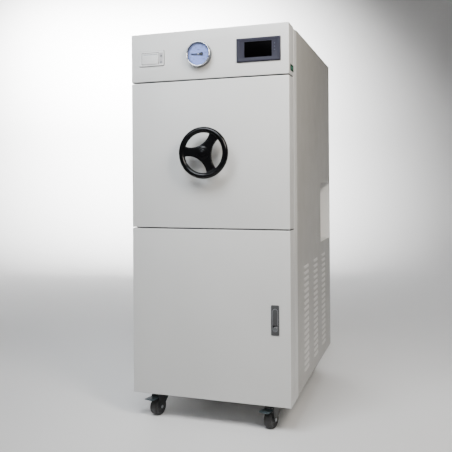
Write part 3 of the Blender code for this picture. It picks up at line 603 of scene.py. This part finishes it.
def lens_outline():
    """The opening between two spokes, its hub side an arc centred outside the hub."""
    middle, radius, inside = 0.0975, 0.0690, 0.0740
    reach = (inside ** 2 + middle ** 2 - radius ** 2) / (2 * middle)
    corner = acos(reach / inside)
    other = asin(inside * sin(corner) / radius)
    rim_side = arc((0, 0), inside, -corner, corner, 14)
    hub_side = arc((middle, 0), radius, pi - other, pi + other, 20)
    return rim_side + hub_side[1:-1]


def make_handwheel():
    rim_plane = (WHEEL_LOW.y + 0.0105) - FRONT
    centre = (0, FRONT, AXIS_Z)
    web = shifted([(0, -0.0085), (0.016, -0.0080), (0.024, -0.0055), (0.045, -0.0042), (0.078, -0.0050),
                   (0.078, 0.0055), (0.040, 0.0060), (0.022, 0.0085)], 0, rim_plane)
    hub = [(0.0185, -0.0205), (0.0170, -0.0165), (0, -0.0165)]
    wheel = add("handwheel_casting", turned(web + hub, centre, steps=96), BLACK)
    for step in range(3):
        angle = SPOKE_ANGLE + radians(60 + 120 * step)
        lens = [(u * cos(angle) - v * sin(angle),
                 AXIS_Z + u * sin(angle) + v * cos(angle)) for u, v in lens_outline()]
        cut(wheel, prism(lens, back(rim_plane - 0.02), back(rim_plane + 0.02)))
    section = arc((RIM_RADIUS, rim_plane), RIM_THICKNESS, 0, tau, 28)[:-1]
    join(wheel, turned(section, centre, steps=120))
    remesh = wheel.modifiers.new("cast_skin", "REMESH")
    remesh.mode = "VOXEL"
    remesh.voxel_size = 0.0011
    soften = wheel.modifiers.new("fillets", "SMOOTH")
    soften.factor = 0.5
    soften.iterations = 9
    settle(wheel, 180)
    wheel.data.materials.clear()
    wheel.data.materials.append(BLACK)
    stand_for(wheel, "handwheel_shaft", "handwheel")
    cap = shifted([(0, -0.0090), (0.0100, -0.0088), (0.0112, -0.0082), (0.0110, -0.0060), (0, -0.0060)],
                  0, rim_plane)
    fit("handwheel_cap", turned(cap, centre, steps=40), BLACK, "handwheel_shaft")


# ---- control panel fittings

SCALE_RADIUS, SCALE_START, SCALE_END = 0.0364, 225, -45
FIGURE_RADIUS = 0.0256


def print_figures(name, words, size, place):
    """Flat printed figures that face the front."""
    curve = bpy.data.curves.new(name, "FONT")
    curve.body = words
    curve.size = size
    curve.extrude = 0.00012
    curve.align_x, curve.align_y = "CENTER", "CENTER"
    flat = link(name, curve)
    flat.matrix_world = Matrix.Translation(place) @ Matrix.Rotation(radians(90), 4, "X")
    mesh = final_mesh(flat)
    mesh.transform(flat.matrix_world)
    bpy.data.objects.remove(flat)
    mesh.materials.clear()
    mesh.materials.append(INK)
    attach(link(name, mesh), "cabinet")


def scale_band(centre, radius, start, dial):
    """A thin printed arc that ends where the scale does."""
    start, end, middle = radians(start), radians(SCALE_END), (centre.x, centre.z)
    outline = arc(middle, radius + 0.0006, end, start, 60) + arc(middle, radius, start, end, 60)
    return prism(outline, back(dial - 0.0002), back(dial - 0.00002))


def make_gauge_scale(centre, dial):
    """Marks, figures and a red band on a dial whose face is this far behind the front."""
    marks = []
    for index in range(51):
        inner, width = (0.0310, 0.00055) if index % 5 == 0 else (0.0336, 0.00028)
        mark = block((inner, back(dial - 0.00025), -width), (SCALE_RADIUS, back(dial - 0.00002), width))
        angle = radians(SCALE_START + (SCALE_END - SCALE_START) * (index / 50))
        turn = Matrix.Translation((centre.x, 0, centre.z)) @ Matrix.Rotation(-angle, 4, "Y")
        bmesh.ops.transform(mark, matrix=turn, verts=mark.verts)
        marks.append(mark)
    marks.append(scale_band(centre, SCALE_RADIUS, SCALE_START, dial))
    fit("gauge_scale", merge(marks), INK, "cabinet")
    fit("gauge_limit_band", scale_band(centre, 0.0378, 4, dial), RED_INK, "cabinet")
    depth = back(dial - 0.00015)
    for index in range(6):
        angle = radians(SCALE_START - 54 * index)
        u, v = FIGURE_RADIUS * cos(angle), FIGURE_RADIUS * sin(angle)
        print_figures(f"gauge_figure_{index}", f"{index / 10:.1f}" if index else "0", 0.0062,
                      (centre.x + u, depth, centre.z + v))
    print_figures("gauge_unit", "MPa", 0.0052, (centre.x, depth, centre.z + 0.0150))


def make_gauge():
    low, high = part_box("gauge_case")
    radius = (high.x - low.x) / 2
    centre = Vector(((low.x + high.x) / 2, FRONT, (low.z + high.z) / 2))
    front = low.y - FRONT
    bore = radius - 0.0043
    outside = shifted([(-0.0032, 0.030), (-0.0032, -0.0003), (-0.0004, -0.0003), (0, -0.0020)], radius, 0)
    lip = shifted([(0, 0.0030), (-0.0004, 0.0014), (-0.0012, 0.0003), (-0.0021, 0), (-0.0032, 0.0004),
                   (-0.0040, 0.0018)], radius, front)
    inside = [(bore, front + 0.0032), (bore, -0.0030), (bore - 0.0004, 0.028), (0, 0.028)]
    profile = [(0, 0.030)] + outside + lip + inside
    case = add("gauge_bezel", turned(profile, centre, steps=96), CHROME, 50)
    # Faces that look sideways take the darker chrome: painted shade on the sides of the bezel.
    case.data.materials.append(DARK_CHROME)
    for face in case.data.polygons:
        face.material_index = 1 if abs(face.normal.y) < 0.45 else 0
    stand_for(case, "cabinet", "gauge_case")
    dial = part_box("gauge_dial")[0][1] - FRONT - 0.0002
    disc = rod(bore - 0.0006, dial, dial + 0.0012, centre, steps=80)
    fit("gauge_face", disc, DIAL, "cabinet", "gauge_dial")
    make_gauge_scale(centre, dial)
    window = turned([(0, front + 0.0022), (0.020, front + 0.0024), (bore - 0.0010, front + 0.0032),
                     (bore - 0.0002, front + 0.0045), (0, front + 0.0042)], centre, steps=80)
    fit("gauge_window", window, GLASS, "cabinet", "gauge_glass")
    pin = shifted([(0, -0.0047), (0.0015, -0.0046), (0.0019, -0.0042), (0.0019, -0.0036), (0, -0.0036)],
                  0, dial)
    fit("gauge_needle_pin", turned(pin, centre, steps=24), CHROME, "gauge_pointer")
    upper = [(-0.0290, 0.0013), (0.0030, 0.0022), (0.0066, 0.0042), (0.0096, 0.0056), (0.0150, 0.0056),
             (0.0174, 0.0040)]
    outline = shifted(mirrored(upper), centre.x, centre.z)
    boss = shifted([(0, -0.0040), (0.0036, -0.0039), (0.0036, -0.0008), (0, -0.0008)], 0, dial)
    needle = merge([prism(outline, back(dial - 0.0034), back(dial - 0.0026), edge=0.0001),
                    turned(boss, centre, steps=32)])
    fit("gauge_needle_shaped", needle, INK, "gauge_pointer", "gauge_needle")


def make_printer():
    low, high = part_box("printer_housing")
    door_low, door_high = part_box("printer_door")
    key_low, _, key = middle_of("feed_button")
    centre = (key.x, FRONT, key.z)
    ahead = back(-0.02)
    mouth = rounded((door_low.x - 0.0016, door_low.z - 0.0010), (door_high.x + 0.0014, door_high.z + 0.0018),
                    0.0010, 3)
    finger = rounded((key.x - 0.0042, low.z + 0.008), (key.x + 0.0042, low.z + 0.022), 0.0018)
    strip = rounded((door_high.x + 0.0032, low.z + 0.0062), (high.x - 0.0036, high.z - 0.0080), 0.0012)
    housing = add("printer_body", prism(facing(low, high, 0.0030), low.y, back(-0.0003), edge=0.0010), WHITE)
    join(housing, front_block(low, high, 0.0033, -0.0008, high.y - FRONT, 0.001))
    cut(housing, prism(mouth, ahead, back(0.048)), rod(0.0040, -0.02, 0.010, centre, steps=40),
        prism(finger, ahead, low.y + 0.0012), prism(strip, ahead, low.y + 0.0009))
    # The walls round the flap are black: painted shade in the gap round the printer door.
    housing.data.materials.append(SEAL_AND_SHADE)
    for face in housing.data.polygons:
        x, _, z = face.center
        in_mouth = (door_low.x - 0.0020 < x < door_high.x + 0.0018
                    and door_low.z - 0.0014 < z < door_high.z + 0.0022)
        face.material_index = 1 if in_mouth and abs(face.normal.y) < 0.5 else 0
    stand_for(housing, "cabinet", "printer_housing")
    plate = add("printer_key_strip", prism(strip, low.y + 0.0006, low.y + 0.0014), KEY_STRIP)
    cut(plate, rod(0.0040, -0.02, 0.010, centre, steps=40))
    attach(plate, "cabinet")
    # A black ring round the printer: painted shadow along its outline.
    outline = facing(low, high, 0.0036, 0.0011)
    shadow_ring = add("printer_shadow_ring", prism(outline, back(-0.0009), back(-0.0003)), SEAL_AND_SHADE)
    cut(shadow_ring, front_block(low, high, 0.0012))
    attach(shadow_ring, "cabinet")
    outline = facing(door_low, door_high, 0.0012, steps=3)
    flap = add("printer_flap_panel", prism(outline, door_low.y, door_high.y, edge=0.0005), WHITE)
    slot = door_high.z - 0.0055
    cut(flap, block((door_low.x + 0.005, door_low.y - 0.01, slot),
                    (door_high.x - 0.005, door_low.y + 0.01, slot + 0.0016)))
    stand_for(flap, "printer_flap", "printer_door")
    tear = rounded((door_low.x + 0.004, slot - 0.0016), (door_high.x - 0.004, slot - 0.0004), 0.0004, 2)
    fit("printer_tear_bar", prism(tear, door_low.y - 0.0002, door_low.y + 0.0010), ZINC, "printer_flap")
    face = key_low.y - FRONT
    dome = [(0, face), (0.0026, face + 0.0001), (0.0034, face + 0.0008), (0.0035, 0.005), (0, 0.005)]
    fit("printer_feed_button", turned(dome, centre, steps=40), PALE_PLASTIC_AND_HIGHLIGHT, "feed_key", "feed_button")
    catch = rounded((key.x - 0.0036, low.z + 0.0088), (key.x + 0.0036, low.z + 0.0150), 0.0012)
    fit("printer_catch", prism(catch, low.y - 0.0006, low.y + 0.0010, edge=0.0004), PALE_PLASTIC_AND_HIGHLIGHT, "cabinet")
    layers = []
    for step in range(14):
        radius = 0.0060 + 0.0008 * step
        outer = radius + 0.0005
        layers += [(radius, 0.0), (outer, 0.0), (outer, 0.0004), (radius + 0.0008, 0.0004)]
    profile = layers + [(radius, 0.058 - along) for radius, along in reversed(layers)]
    roll = turned(profile, (door_low.x + 0.0035, back(0.024), (door_low.z + door_high.z) / 2), "X", 48)
    fit("paper_roll", roll, PAPER, "cabinet")


def make_hmi():
    low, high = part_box("hmi_bezel")
    glass_low, glass_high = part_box("hmi_screen")
    steps = ((0.0, -0.0003), (0.0, low.y + 0.0026 - FRONT), (0.0030, low.y - FRONT),
             (0.0100, low.y - FRONT), (0.0112, low.y + 0.0005 - FRONT))
    shape = bmesh.new()
    rings = []
    for inset, depth in steps:
        outline = facing(low, high, max(0.0024 - inset * 0.1, 0.0010), -inset)
        rings.append([shape.verts.new((u, back(depth), v)) for u, v in outline])
    for first, second in zip(rings, rings[1:]):
        join_rings(shape, first, second)
    shape.faces.new(rings[0])
    shape.faces.new(rings[-1])
    bezel = add("panel_bezel", shape, BEZEL)
    join(bezel, front_block(low, high, 0.0068, -0.0008, high.y - FRONT, 0.001))
    cut(bezel, prism(facing(glass_low, glass_high, 0.0008, 0.0004, 3), back(-0.02), back(-0.0020)))
    stand_for(bezel, "cabinet", "hmi_bezel")
    window = prism(facing(glass_low, glass_high, 0.0006, steps=3), glass_low.y, glass_high.y, edge=0.0002)
    fit("panel_screen", window, SCREEN, "cabinet", "hmi_screen")
    dot = [(0, -0.0009), (0.0010, -0.0008), (0.0015, -0.0003), (0.0015, 0.0006), (0, 0.0006)]
    x, y, z = glass_high.x + 0.0105, low.y + 0.0006, glass_high.z - 0.0105
    dots = [turned(dot, (x, y, z - drop), steps=20) for drop in (0.0, 0.0110, 0.0215)]
    fit("panel_markers", merge(dots), MARKER, "cabinet")


# ---- lock

def stadium(x, low, high, half):
    """An upright slot outline with round ends."""
    return arc((x, high - half), half, 0, pi, 14) + arc((x, low + half), half, pi, tau, 14)


def make_lock():
    low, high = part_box("lock_plate")
    lever_low, lever_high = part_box("lock_lever")
    key_low, key_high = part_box("lock_button")
    x = (low.x + high.x) / 2
    slot_low, slot_high, half = low.z + 0.0130, high.z - 0.0130, 0.0085
    slot = stadium(x, slot_low, slot_high, half)
    plate = add("latch_plate", prism(facing(low, high, 0.0030), low.y, back(-0.0003), edge=0.0007), LOCK)
    join(plate, front_block(low, high, 0.0030, -0.001, high.y - FRONT, 0.001))
    cut(plate, prism(slot, back(-0.01), back(0.0140)))
    stand_for(plate, "lower_door", "lock_plate")
    # A pale ring round the slot: painted highlight on the rim of the recess.
    outer = stadium(x, slot_low - 0.0011, slot_high + 0.0011, half + 0.0011)
    rim = add("latch_rim_highlight", prism(outer, low.y - 0.0004, low.y + 0.0006, edge=0.00025), PALE_PLASTIC_AND_HIGHLIGHT)
    cut(rim, prism(slot, back(-0.01), back(0.0140)))
    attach(rim, "lower_door")
    grip = stadium(x, lever_low.z, lever_high.z, (lever_high.x - lever_low.x) / 2)
    lever = add("latch_lever", prism(grip, lever_low.y, lever_high.y, edge=0.0010), LOCK)
    finger = stadium(x, lever_low.z + 0.0040, lever_low.z + 0.0200, 0.0048)
    cut(lever, prism(finger, lever_low.y - 0.01, lever_low.y + 0.0016))
    stand_for(lever, "pull_lever", "lock_lever")
    z = (key_low.z + key_high.z) / 2
    start, end = key_low.y - FRONT, key_high.y - FRONT
    radius = (key_high.x - key_low.x) / 2
    key = turned([(0, start), (radius - 0.0010, start), (radius, start + 0.0010), (radius, end), (0, end)],
                 (x, FRONT, z), steps=48)
    button = add("latch_key_button", key, CAST)
    cut(button, block((x - 0.0008, key_low.y - 0.01, z - 0.0036),
                      (x + 0.0008, key_low.y + 0.0030, z + 0.0036)))
    stand_for(button, "release_button", "lock_button")


# ---- castors, drawn trailing along -Y under a swivel at the origin

TRAIL, WHEEL_RADIUS, FORK_REACH, TREAD_HALF = 0.028, 0.0315, 0.0189, 0.0140


def castor_frame(name):
    """The transform from a castor's own drawing to its place."""
    joint = next(item for item in frame["joints"] if item["name"] == f"swivel_{name}")
    x, y = joint["pos_m"][:2]
    toward = middle_of(f"castor_wheel_{name}")[2] - Vector((x, y, 0))
    return Matrix.Translation((x, y, 0)) @ Matrix.Rotation(atan2(toward.x, -toward.y), 4, "Z")


def fork_leg(side):
    """A pressed side of the fork: wide at the crown, narrow and round at the axle, with a rolled edge."""
    foot = arc((-TRAIL, WHEEL_RADIUS), 0.0095, radians(195), radians(345), 14)
    crown = [(-0.004, 0.046), (0.0190, 0.0700), (0.0205, 0.0750), (-0.0420, 0.0750), (-0.0430, 0.0700),
             (-0.0415, 0.0560)]
    return prism(foot + crown, side * 0.0161, side * FORK_REACH, "X", edge=0.0006)


def make_castor(name):
    place = castor_frame(name)
    swivel, roller, pedal = f"castor_swivel_{name}", f"castor_roller_{name}", f"castor_pedal_{name}"
    centre = (0, -TRAIL, WHEEL_RADIUS)
    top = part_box(f"castor_fork_{name}")[1].z - 0.0002
    head = [(0, 0.0745), (0.0205, 0.0745), (0.0209, 0.0770), (0.0209, 0.0800), (0.0195, 0.0822),
            (0.0195, 0.0832), (0.0208, 0.0842), (0.0208, 0.0868), (0.0190, 0.0880), (0.0190, top), (0, top)]
    fork = add(f"fork_{name}", turned(head, (0, 0, 0), "Z", 48), FORK)
    plate = rounded((-FORK_REACH, -0.0435), (FORK_REACH, 0.0206), 0.0085)
    join(fork, prism(plate, 0.0736, 0.0784, "Z", edge=0.0012), fork_leg(-1), fork_leg(1))
    fork.data.transform(place)
    stand_for(fork, swivel, f"castor_fork_{name}")
    nut = hexagon((-TRAIL, WHEEL_RADIUS), 0.0062)
    axle = [prism(nut, side * FORK_REACH, side * (FORK_REACH + 0.0014), "X", edge=0.0003) for side in (-1, 1)]
    axle.append(rod(0.0038, -0.0165, 0.0165, centre, "X", 24))
    fit(f"axle_{name}", merge(axle), ZINC, swivel, place=place)
    tread = shifted([(-0.0062, 0.0010), (-0.0028, 0.0002), (-0.0012, 0.0012), (-0.0003, 0.0040), (0, 0.0070)],
                    WHEEL_RADIUS, -TREAD_HALF)
    fit(f"tread_{name}", turned(mirrored(tread), centre, "X", 72), TYRE, roller, f"castor_wheel_{name}",
        angle=40, place=place)
    rim = WHEEL_RADIUS - 0.0062
    hub = shifted([(0.0044, 0), (0.0088, 0), (0.0096, 0.0022), (0.0120, 0.0040), (rim - 0.0040, 0.0034),
                   (rim - 0.0022, 0.0008), (rim, 0.0009)], 0, -TREAD_HALF)
    fit(f"hub_{name}", turned(mirrored(hub), centre, "X", 64), HUB, roller, place=place)
    pedal_low, pedal_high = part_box(f"castor_brake_{name}")
    over = pedal_high.z
    outline = [(-0.0150, -0.0405), (0.0150, -0.0405), (0.0150, -0.0500), (0.0190, -0.0560),
               (0.0190, -0.0800), (0.0165, -0.0850), (-0.0165, -0.0850), (-0.0190, -0.0800),
               (-0.0190, -0.0560), (-0.0150, -0.0500)]
    fit(f"pedal_{name}", prism(outline, pedal_low.z, over - 0.0004, "Z", edge=0.0009), PEDAL, pedal,
        f"castor_brake_{name}", place=place)
    ribs = [block((-0.0150, y - 0.0006, over - 0.0008), (0.0150, y + 0.0006, over), 0.0003, 2)
            for y in (-0.0600, -0.0640, -0.0680, -0.0720, -0.0760, -0.0800)]
    fit(f"pedal_ribs_{name}", merge(ribs), PEDAL, pedal, place=place)


# ---- inside and rear

FINISHES = (
    (FRAME_PAINT, ("base_frame", "chamber_cradle")),
    (NICHE_LIT_PAINT, ("service_niche",)),
    (STEEL, ("chamber_vessel", "tray_rack", "steam_generator")),
    (TURNED, ("handwheel_spindle",)),
    (CAST, ("locking_ring", "pressure_door")),
    (ZINC, ("control_electronics", "upper_hinge_fixed", "upper_hinge_moving", "lower_hinge_fixed",
            "lower_hinge_moving", "lock_cam")),
    (BRASS, ("safety_valve", "drain_outlet")),
    (SILICONE, ("door_gasket",)),
    (TANK, ("water_tank",)),
    (MOTOR, ("vacuum_pump",)),
    (BLACK, ("power_cable_gland",)),
)


def finish_inside():
    """Give the CAD nodes that stay their materials."""
    for material, nodes in FINISHES:
        for node in nodes:
            NODES[node].data.materials.clear()
            NODES[node].data.materials.append(material)


def bolt_circle(name, centre, axis, radius, count, head, height, body="cabinet"):
    """Socket-head screws round a circle. The heads stand from centre along the axis by height."""
    screw = [(0, height * 0.45), (head * 0.5, height * 0.45), (head * 0.55, height), (head * 0.85, height),
             (head, height * 0.8), (head, 0), (0, 0)]
    shapes = []
    for index in range(count):
        angle = tau * (index + 0.5) / count
        u, v = radius * cos(angle), radius * sin(angle)
        place = centre + (Vector((u, 0, v)) if axis == "Y" else Vector((u, v, 0)))
        shapes.append(turned(screw, place, axis, 18))
    fit(name, merge(shapes), ZINC, body)


def band(name, centre, axis, radius, start, width, material, *lug):
    """A strap round a cylinder, with a tension screw between the two corners of a lug, if given."""
    end = start + width
    shapes = [turned([(radius, start), (radius + 0.0012, start + 0.001), (radius + 0.0012, end - 0.001),
                      (radius, end), (radius - 0.0005, end), (radius - 0.0005, start)], centre, axis, 72)]
    if lug:
        shapes.append(block(*lug, 0.0012))
    fit(name, merge(shapes), material, "cabinet")


def make_bars():
    for index, body in enumerate(("bar_right", "bar_top", "bar_left", "bar_bottom"), 1):
        low, high, middle = middle_of(f"locking_bar_{index}")
        bar = add(f"{body}_ground", block(low, high, 0.0022, 4), TURNED)
        level = high.x - low.x > high.z - low.z
        groove = Vector((0.030, 0, 0.0014)) if level else Vector((0.0014, 0, 0.030))
        face = Vector((middle.x, low.y, middle.z))
        cut(bar, block(face - groove - Vector((0, 0.01, 0)), face + groove + Vector((0, 0.0008, 0))))
        stand_for(bar, body, f"locking_bar_{index}")


def make_tray(label):
    """A pressed tray with a slotted floor and a rolled rim."""
    low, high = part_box(f"tray_{label}")
    shape = block(low, high)
    top = [face for face in shape.faces if min(v.co.z for v in face.verts) > high.z - 1e-6]
    bmesh.ops.delete(shape, geom=top, context="FACES")
    round_off(shape, [rim for rim in shape.edges if len(rim.link_faces) == 2], 0.003, 4)
    tray = add(f"tray_{label}_pressed", shape, STEEL)
    thicken(tray, 0.0010)
    slots = []
    for column in range(7):
        for row in range(12):
            x = -0.093 + 0.031 * column
            y = low.y + 0.040 + 0.040 * row
            outline = rounded((x - 0.009, y - 0.0035), (x + 0.009, y + 0.0035), 0.0034, 3)
            slots.append(prism(outline, low.z - 0.005, low.z + 0.005, "Z"))
    cut(tray, merge(slots))
    stand_for(tray, f"sliding_tray_{label}", f"tray_{label}")
    rims = [rod(0.0015, low.y - FRONT + 0.002, high.y - FRONT - 0.002, (x, FRONT, high.z - 0.0016), "Y", 12)
            for x in (low.x + 0.0016, high.x - 0.0016)]
    fit(f"tray_{label}_rim", merge(rims), TURNED, f"sliding_tray_{label}")


def make_vessel_trim():
    axis = Vector((0, FRONT, AXIS_Z))
    top = AXIS_Z + 0.1705
    for index, depth in enumerate((0.290, 0.410, 0.530)):
        band(f"vessel_strap_{index}", axis, "Y", 0.1704, depth, 0.016, ZINC,
             (-0.030, back(depth + 0.003), top), (0.0, back(depth + 0.013), top + 0.007))
    for name, depth in (("front", 0.1265), ("rear", 0.6960)):
        band(f"vessel_{name}_weld", axis, "Y", 0.1703, depth, 0.006, CAST)
    bolt_circle("ring_screws", Vector((0, back(0.0522), AXIS_Z)), "Y", 0.1945, 16, 0.0045, -0.0034)
    disc = Vector((0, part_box("pressure_door")[1].y - 0.0003, AXIS_Z))
    bolt_circle("door_disc_screws", disc, "Y", 0.120, 8, 0.0050, 0.0042, "chamber_door")


def make_generator_trim():
    low, high, middle = middle_of("steam_generator")
    foot = Vector((middle.x, middle.y, low.z))
    bolt_circle("generator_flange_screws", foot + Vector((0, 0, 0.0338)), "Z", 0.0975, 12, 0.0048, 0.0048)
    for index, height in enumerate((0.110, 0.230)):
        band(f"generator_strap_{index}", foot, "Z", 0.0903, height, 0.014, ZINC,
             (foot.x - 0.012, low.y + 0.0075, low.z + height + 0.002),
             (foot.x + 0.012, low.y + 0.0155, low.z + height + 0.012))
    nut = prism(hexagon((foot.x, foot.y), 0.021), high.z - 0.030, high.z - 0.014, "Z", 0.0012)
    fit("generator_outlet_nut", nut, BRASS, "cabinet")


def make_pump_trim():
    low, _, middle = middle_of("vacuum_pump")
    axis = Vector((middle.x, FRONT, low.z + 0.080))
    fins = []
    for index in range(28):
        fin = block((axis.x + 0.058, back(0.318), axis.z - 0.0011),
                    (axis.x + 0.0700, back(0.436), axis.z + 0.0011), 0.0006, 2)
        turn = Matrix.Rotation(tau * index / 28, 4, "Y")
        turn = Matrix.Translation(axis) @ turn @ Matrix.Translation(-axis)
        bmesh.ops.transform(fin, matrix=turn, verts=fin.verts)
        fins.append(fin)
    fins.append(block((axis.x - 0.026, back(0.350), axis.z + 0.058),
                      (axis.x + 0.026, back(0.405), axis.z + 0.092), 0.003))
    fit("pump_motor_fins", merge(fins), MOTOR, "cabinet")
    head = Vector((axis.x, back(0.2252), low.z + 0.078))
    bolt_circle("pump_head_screws", head, "Y", 0.040, 6, 0.0045, -0.0038)


def make_tank_trim():
    """Moulded ribs on the front of the tank and grip ribs round its cap."""
    low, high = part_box("water_tank")
    ribs = []
    for index in range(5):
        x = -0.150 + 0.075 * index
        ribs.append(block((x - 0.009, low.y - 0.0040, low.z + 0.035),
                          (x + 0.009, low.y + 0.004, low.z + 0.365), 0.0035))
    for index in range(20):
        angle = tau * index / 20
        x, y = -0.10 + 0.0305 * cos(angle), back(0.74) + 0.0305 * sin(angle)
        ribs.append(block((x - 0.0018, y - 0.0018, high.z - 0.017),
                          (x + 0.0018, y + 0.0018, high.z - 0.001), 0.0008))
    fit("tank_ribs", merge(ribs), TANK, "cabinet")


def make_nuts():
    low, _, middle = middle_of("safety_valve")
    nut = prism(hexagon((middle.x, middle.y), 0.0185), low.z + 0.019, low.z + 0.032, "Z", 0.0010)
    fit("safety_valve_nut", nut, BRASS, "cabinet")
    for node, material, reach, radius in (("drain_outlet", BRASS, 0.0010, 0.0150),
                                          ("power_cable_gland", BLACK, 0.0070, 0.0140)):
        low, _, middle = middle_of(node)
        nut = prism(hexagon((middle.y, middle.z), radius), low.x + reach, low.x + reach + 0.0075, "X", 0.0008)
        fit(f"{node}_nut", nut, material, "cabinet")


def make_electronics_trim():
    low, high, middle = middle_of("control_electronics")
    slots, rails = [], []
    for index in range(16):
        x = -0.150 + 0.020 * index
        slot = rounded((x - 0.003, low.z + 0.020), (x + 0.003, high.z - 0.022), 0.0028, 3)
        slots.append(prism(slot, low.y - 0.0004, low.y + 0.0004))
    for index in range(11):
        y = low.y + 0.030 + 0.020 * index
        rails.append(block((middle.x - 0.090, y - 0.0016, low.z - 0.014),
                           (middle.x + 0.090, y + 0.0016, low.z + 0.001), 0.0006, 2))
    # The vent slots are flat black patches, not holes: painted shade where the openings are.
    fit("electronics_vent_shade", merge(slots), SEAL_AND_SHADE, "cabinet")
    fit("electronics_heat_sink", merge(rails), CAST, "cabinet")


def screw_heads(name, places, axis):
    """Countersunk screws with a recess, their faces almost level with the sheet."""
    rise = 0.0005
    head = [(0, rise * 0.2), (0.0006, rise * 0.2), (0.0010, rise), (0.0040, rise * 0.9), (0.0044, 0), (0, 0)]
    fit(name, merge([turned(head, place, axis, 24) for place in places]), ZINC, "cabinet")


def make_outer_sheets():
    """The rear and top sheets, each with a row of flush screws along its edges."""
    low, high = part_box("rear_panel")
    fit("rear_sheet", block(low, (high.x, high.y - 0.0005, high.z), 0.0002, 2), SIDE_PAINT, "cabinet",
        "rear_panel")
    rows = [low.z + 0.015 + (high.z - low.z - 0.030) * step / 4 for step in range(5)]
    y = high.y - 0.0006
    places = [(side * (high.x - 0.012), y, z) for side in (-1, 1) for z in rows]
    screw_heads("rear_screws", places + [(0, y, rows[0]), (0, y, rows[-1])], "Y")
    low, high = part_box("top_panel")
    fit("top_sheet", block(low, (high.x, high.y, high.z - 0.0005), 0.0002, 2), PAINT, "cabinet", "top_panel")
    depths = [low.y + 0.015 + (high.y - low.y - 0.030) * step / 3 for step in range(4)]
    z = high.z - 0.0006
    screw_heads("top_screws", [(side * (high.x - 0.012), y, z) for side in (-1, 1) for y in depths], "Z")


# ---- studio

YAW, ROLL = radians(18.11), radians(-0.39)
CAMERA_ASIDE, CAMERA_AHEAD, CAMERA_HEIGHT = 0.733, 2.036, 0.856
LENS, LENS_SHIFT = 49.18, -0.096
WALL_Y, WALL_CURVE, WALL_TOP, FLOOR_HALF = 3.2, 1.4, 7.0, 9.0


def make_floor():
    """A pale floor that curves up into a backdrop, square to the camera."""
    profile = [(-6.0, 0.0), (WALL_Y, 0.0)]
    for step in range(6, 91, 6):
        angle = radians(step)
        profile.append((WALL_Y + WALL_CURVE * sin(angle), WALL_CURVE - WALL_CURVE * cos(angle)))
    profile.append((WALL_Y + WALL_CURVE, WALL_TOP))
    shape = bmesh.new()
    left, right = ([shape.verts.new((x, y, z)) for y, z in profile] for x in (-FLOOR_HALF, FLOOR_HALF))
    for index in range(len(profile) - 1):
        shape.faces.new((left[index], right[index], right[index + 1], left[index + 1]))
    material, tree, shader = shader_of("studio_floor", (0.72, 0.72, 0.72), 0.85, specular=0.1)
    tinted(tree, shader, noise(tree, 1.5, 3), (0.715, 0.715, 0.715), (0.725, 0.725, 0.725))
    floor = add("studio_floor", shape, material, 60)
    floor.data.transform(Matrix.Rotation(YAW, 4, "Z"))


def area_light(name, place, target, size, power, colour=(1, 1, 1), spread_angle=180):
    data = bpy.data.lights.new(name, "AREA")
    data.shape = "RECTANGLE"
    data.size, data.size_y = size
    data.energy = power
    data.color = colour
    data.spread = radians(spread_angle)
    light = link(name, data)
    light.location = place
    light.rotation_euler = (Vector(target) - Vector(place)).to_track_quat("-Z", "Y").to_euler()


def make_lights():
    cool, pale_blue, warm = (0.90, 0.95, 1.0), (0.84, 0.90, 1.0), (1.0, 0.93, 0.84)
    area_light("key", (-0.15, FRONT - 1.20, 2.38), (0.0, FRONT, 1.20), (1.5, 1.0), 20, cool, 86)
    area_light("gloss_left", (-1.45, FRONT - 2.6, 1.95), (-0.2, FRONT, 1.25), (0.6, 0.6), 11, pale_blue)
    area_light("fill_right", (1.20, FRONT - 0.95, 1.75), (0.28, -0.3, 1.10), (0.6, 0.8), 38, warm)
    area_light("backdrop", (-2.0, 2.3, 3.2), (-2.4, 4.5, 1.4), (3.0, 1.0), 520, spread_angle=88)
    world = bpy.data.worlds.new("studio")
    world.use_nodes = True
    preset(world.node_tree.nodes["Background"], {"Color": (1.0, 0.99, 0.97, 1), "Strength": 0.12})
    bpy.context.scene.world = world


def make_camera():
    """The photo's camera, as fitted to the cabinet's corners: level, with a lens shift."""
    data = bpy.data.cameras.new("view")
    data.lens = LENS
    data.sensor_width = 36
    data.shift_y = LENS_SHIFT
    camera = link("view", data)
    camera.matrix_world = (Matrix.Translation((CAMERA_ASIDE, FRONT - CAMERA_AHEAD, CAMERA_HEIGHT))
                           @ Matrix.Rotation(YAW, 4, "Z")
                           @ Matrix.Rotation(radians(90), 4, "X")
                           @ Matrix.Rotation(ROLL, 4, "Z"))
    bpy.context.scene.camera = camera


make_cabinet()
make_doors()
make_control_panel()
make_gauge()
make_printer()
make_hmi()
make_handwheel()
make_lock()
for corner_name in ("front_left", "rear_left", "front_right", "rear_right"):
    make_castor(corner_name)
finish_inside()
make_bars()
make_tray("lower")
make_tray("upper")
make_vessel_trim()
make_generator_trim()
make_pump_trim()
make_tank_trim()
make_nuts()
make_electronics_trim()
make_outer_sheets()
make_floor()
make_lights()
make_camera()
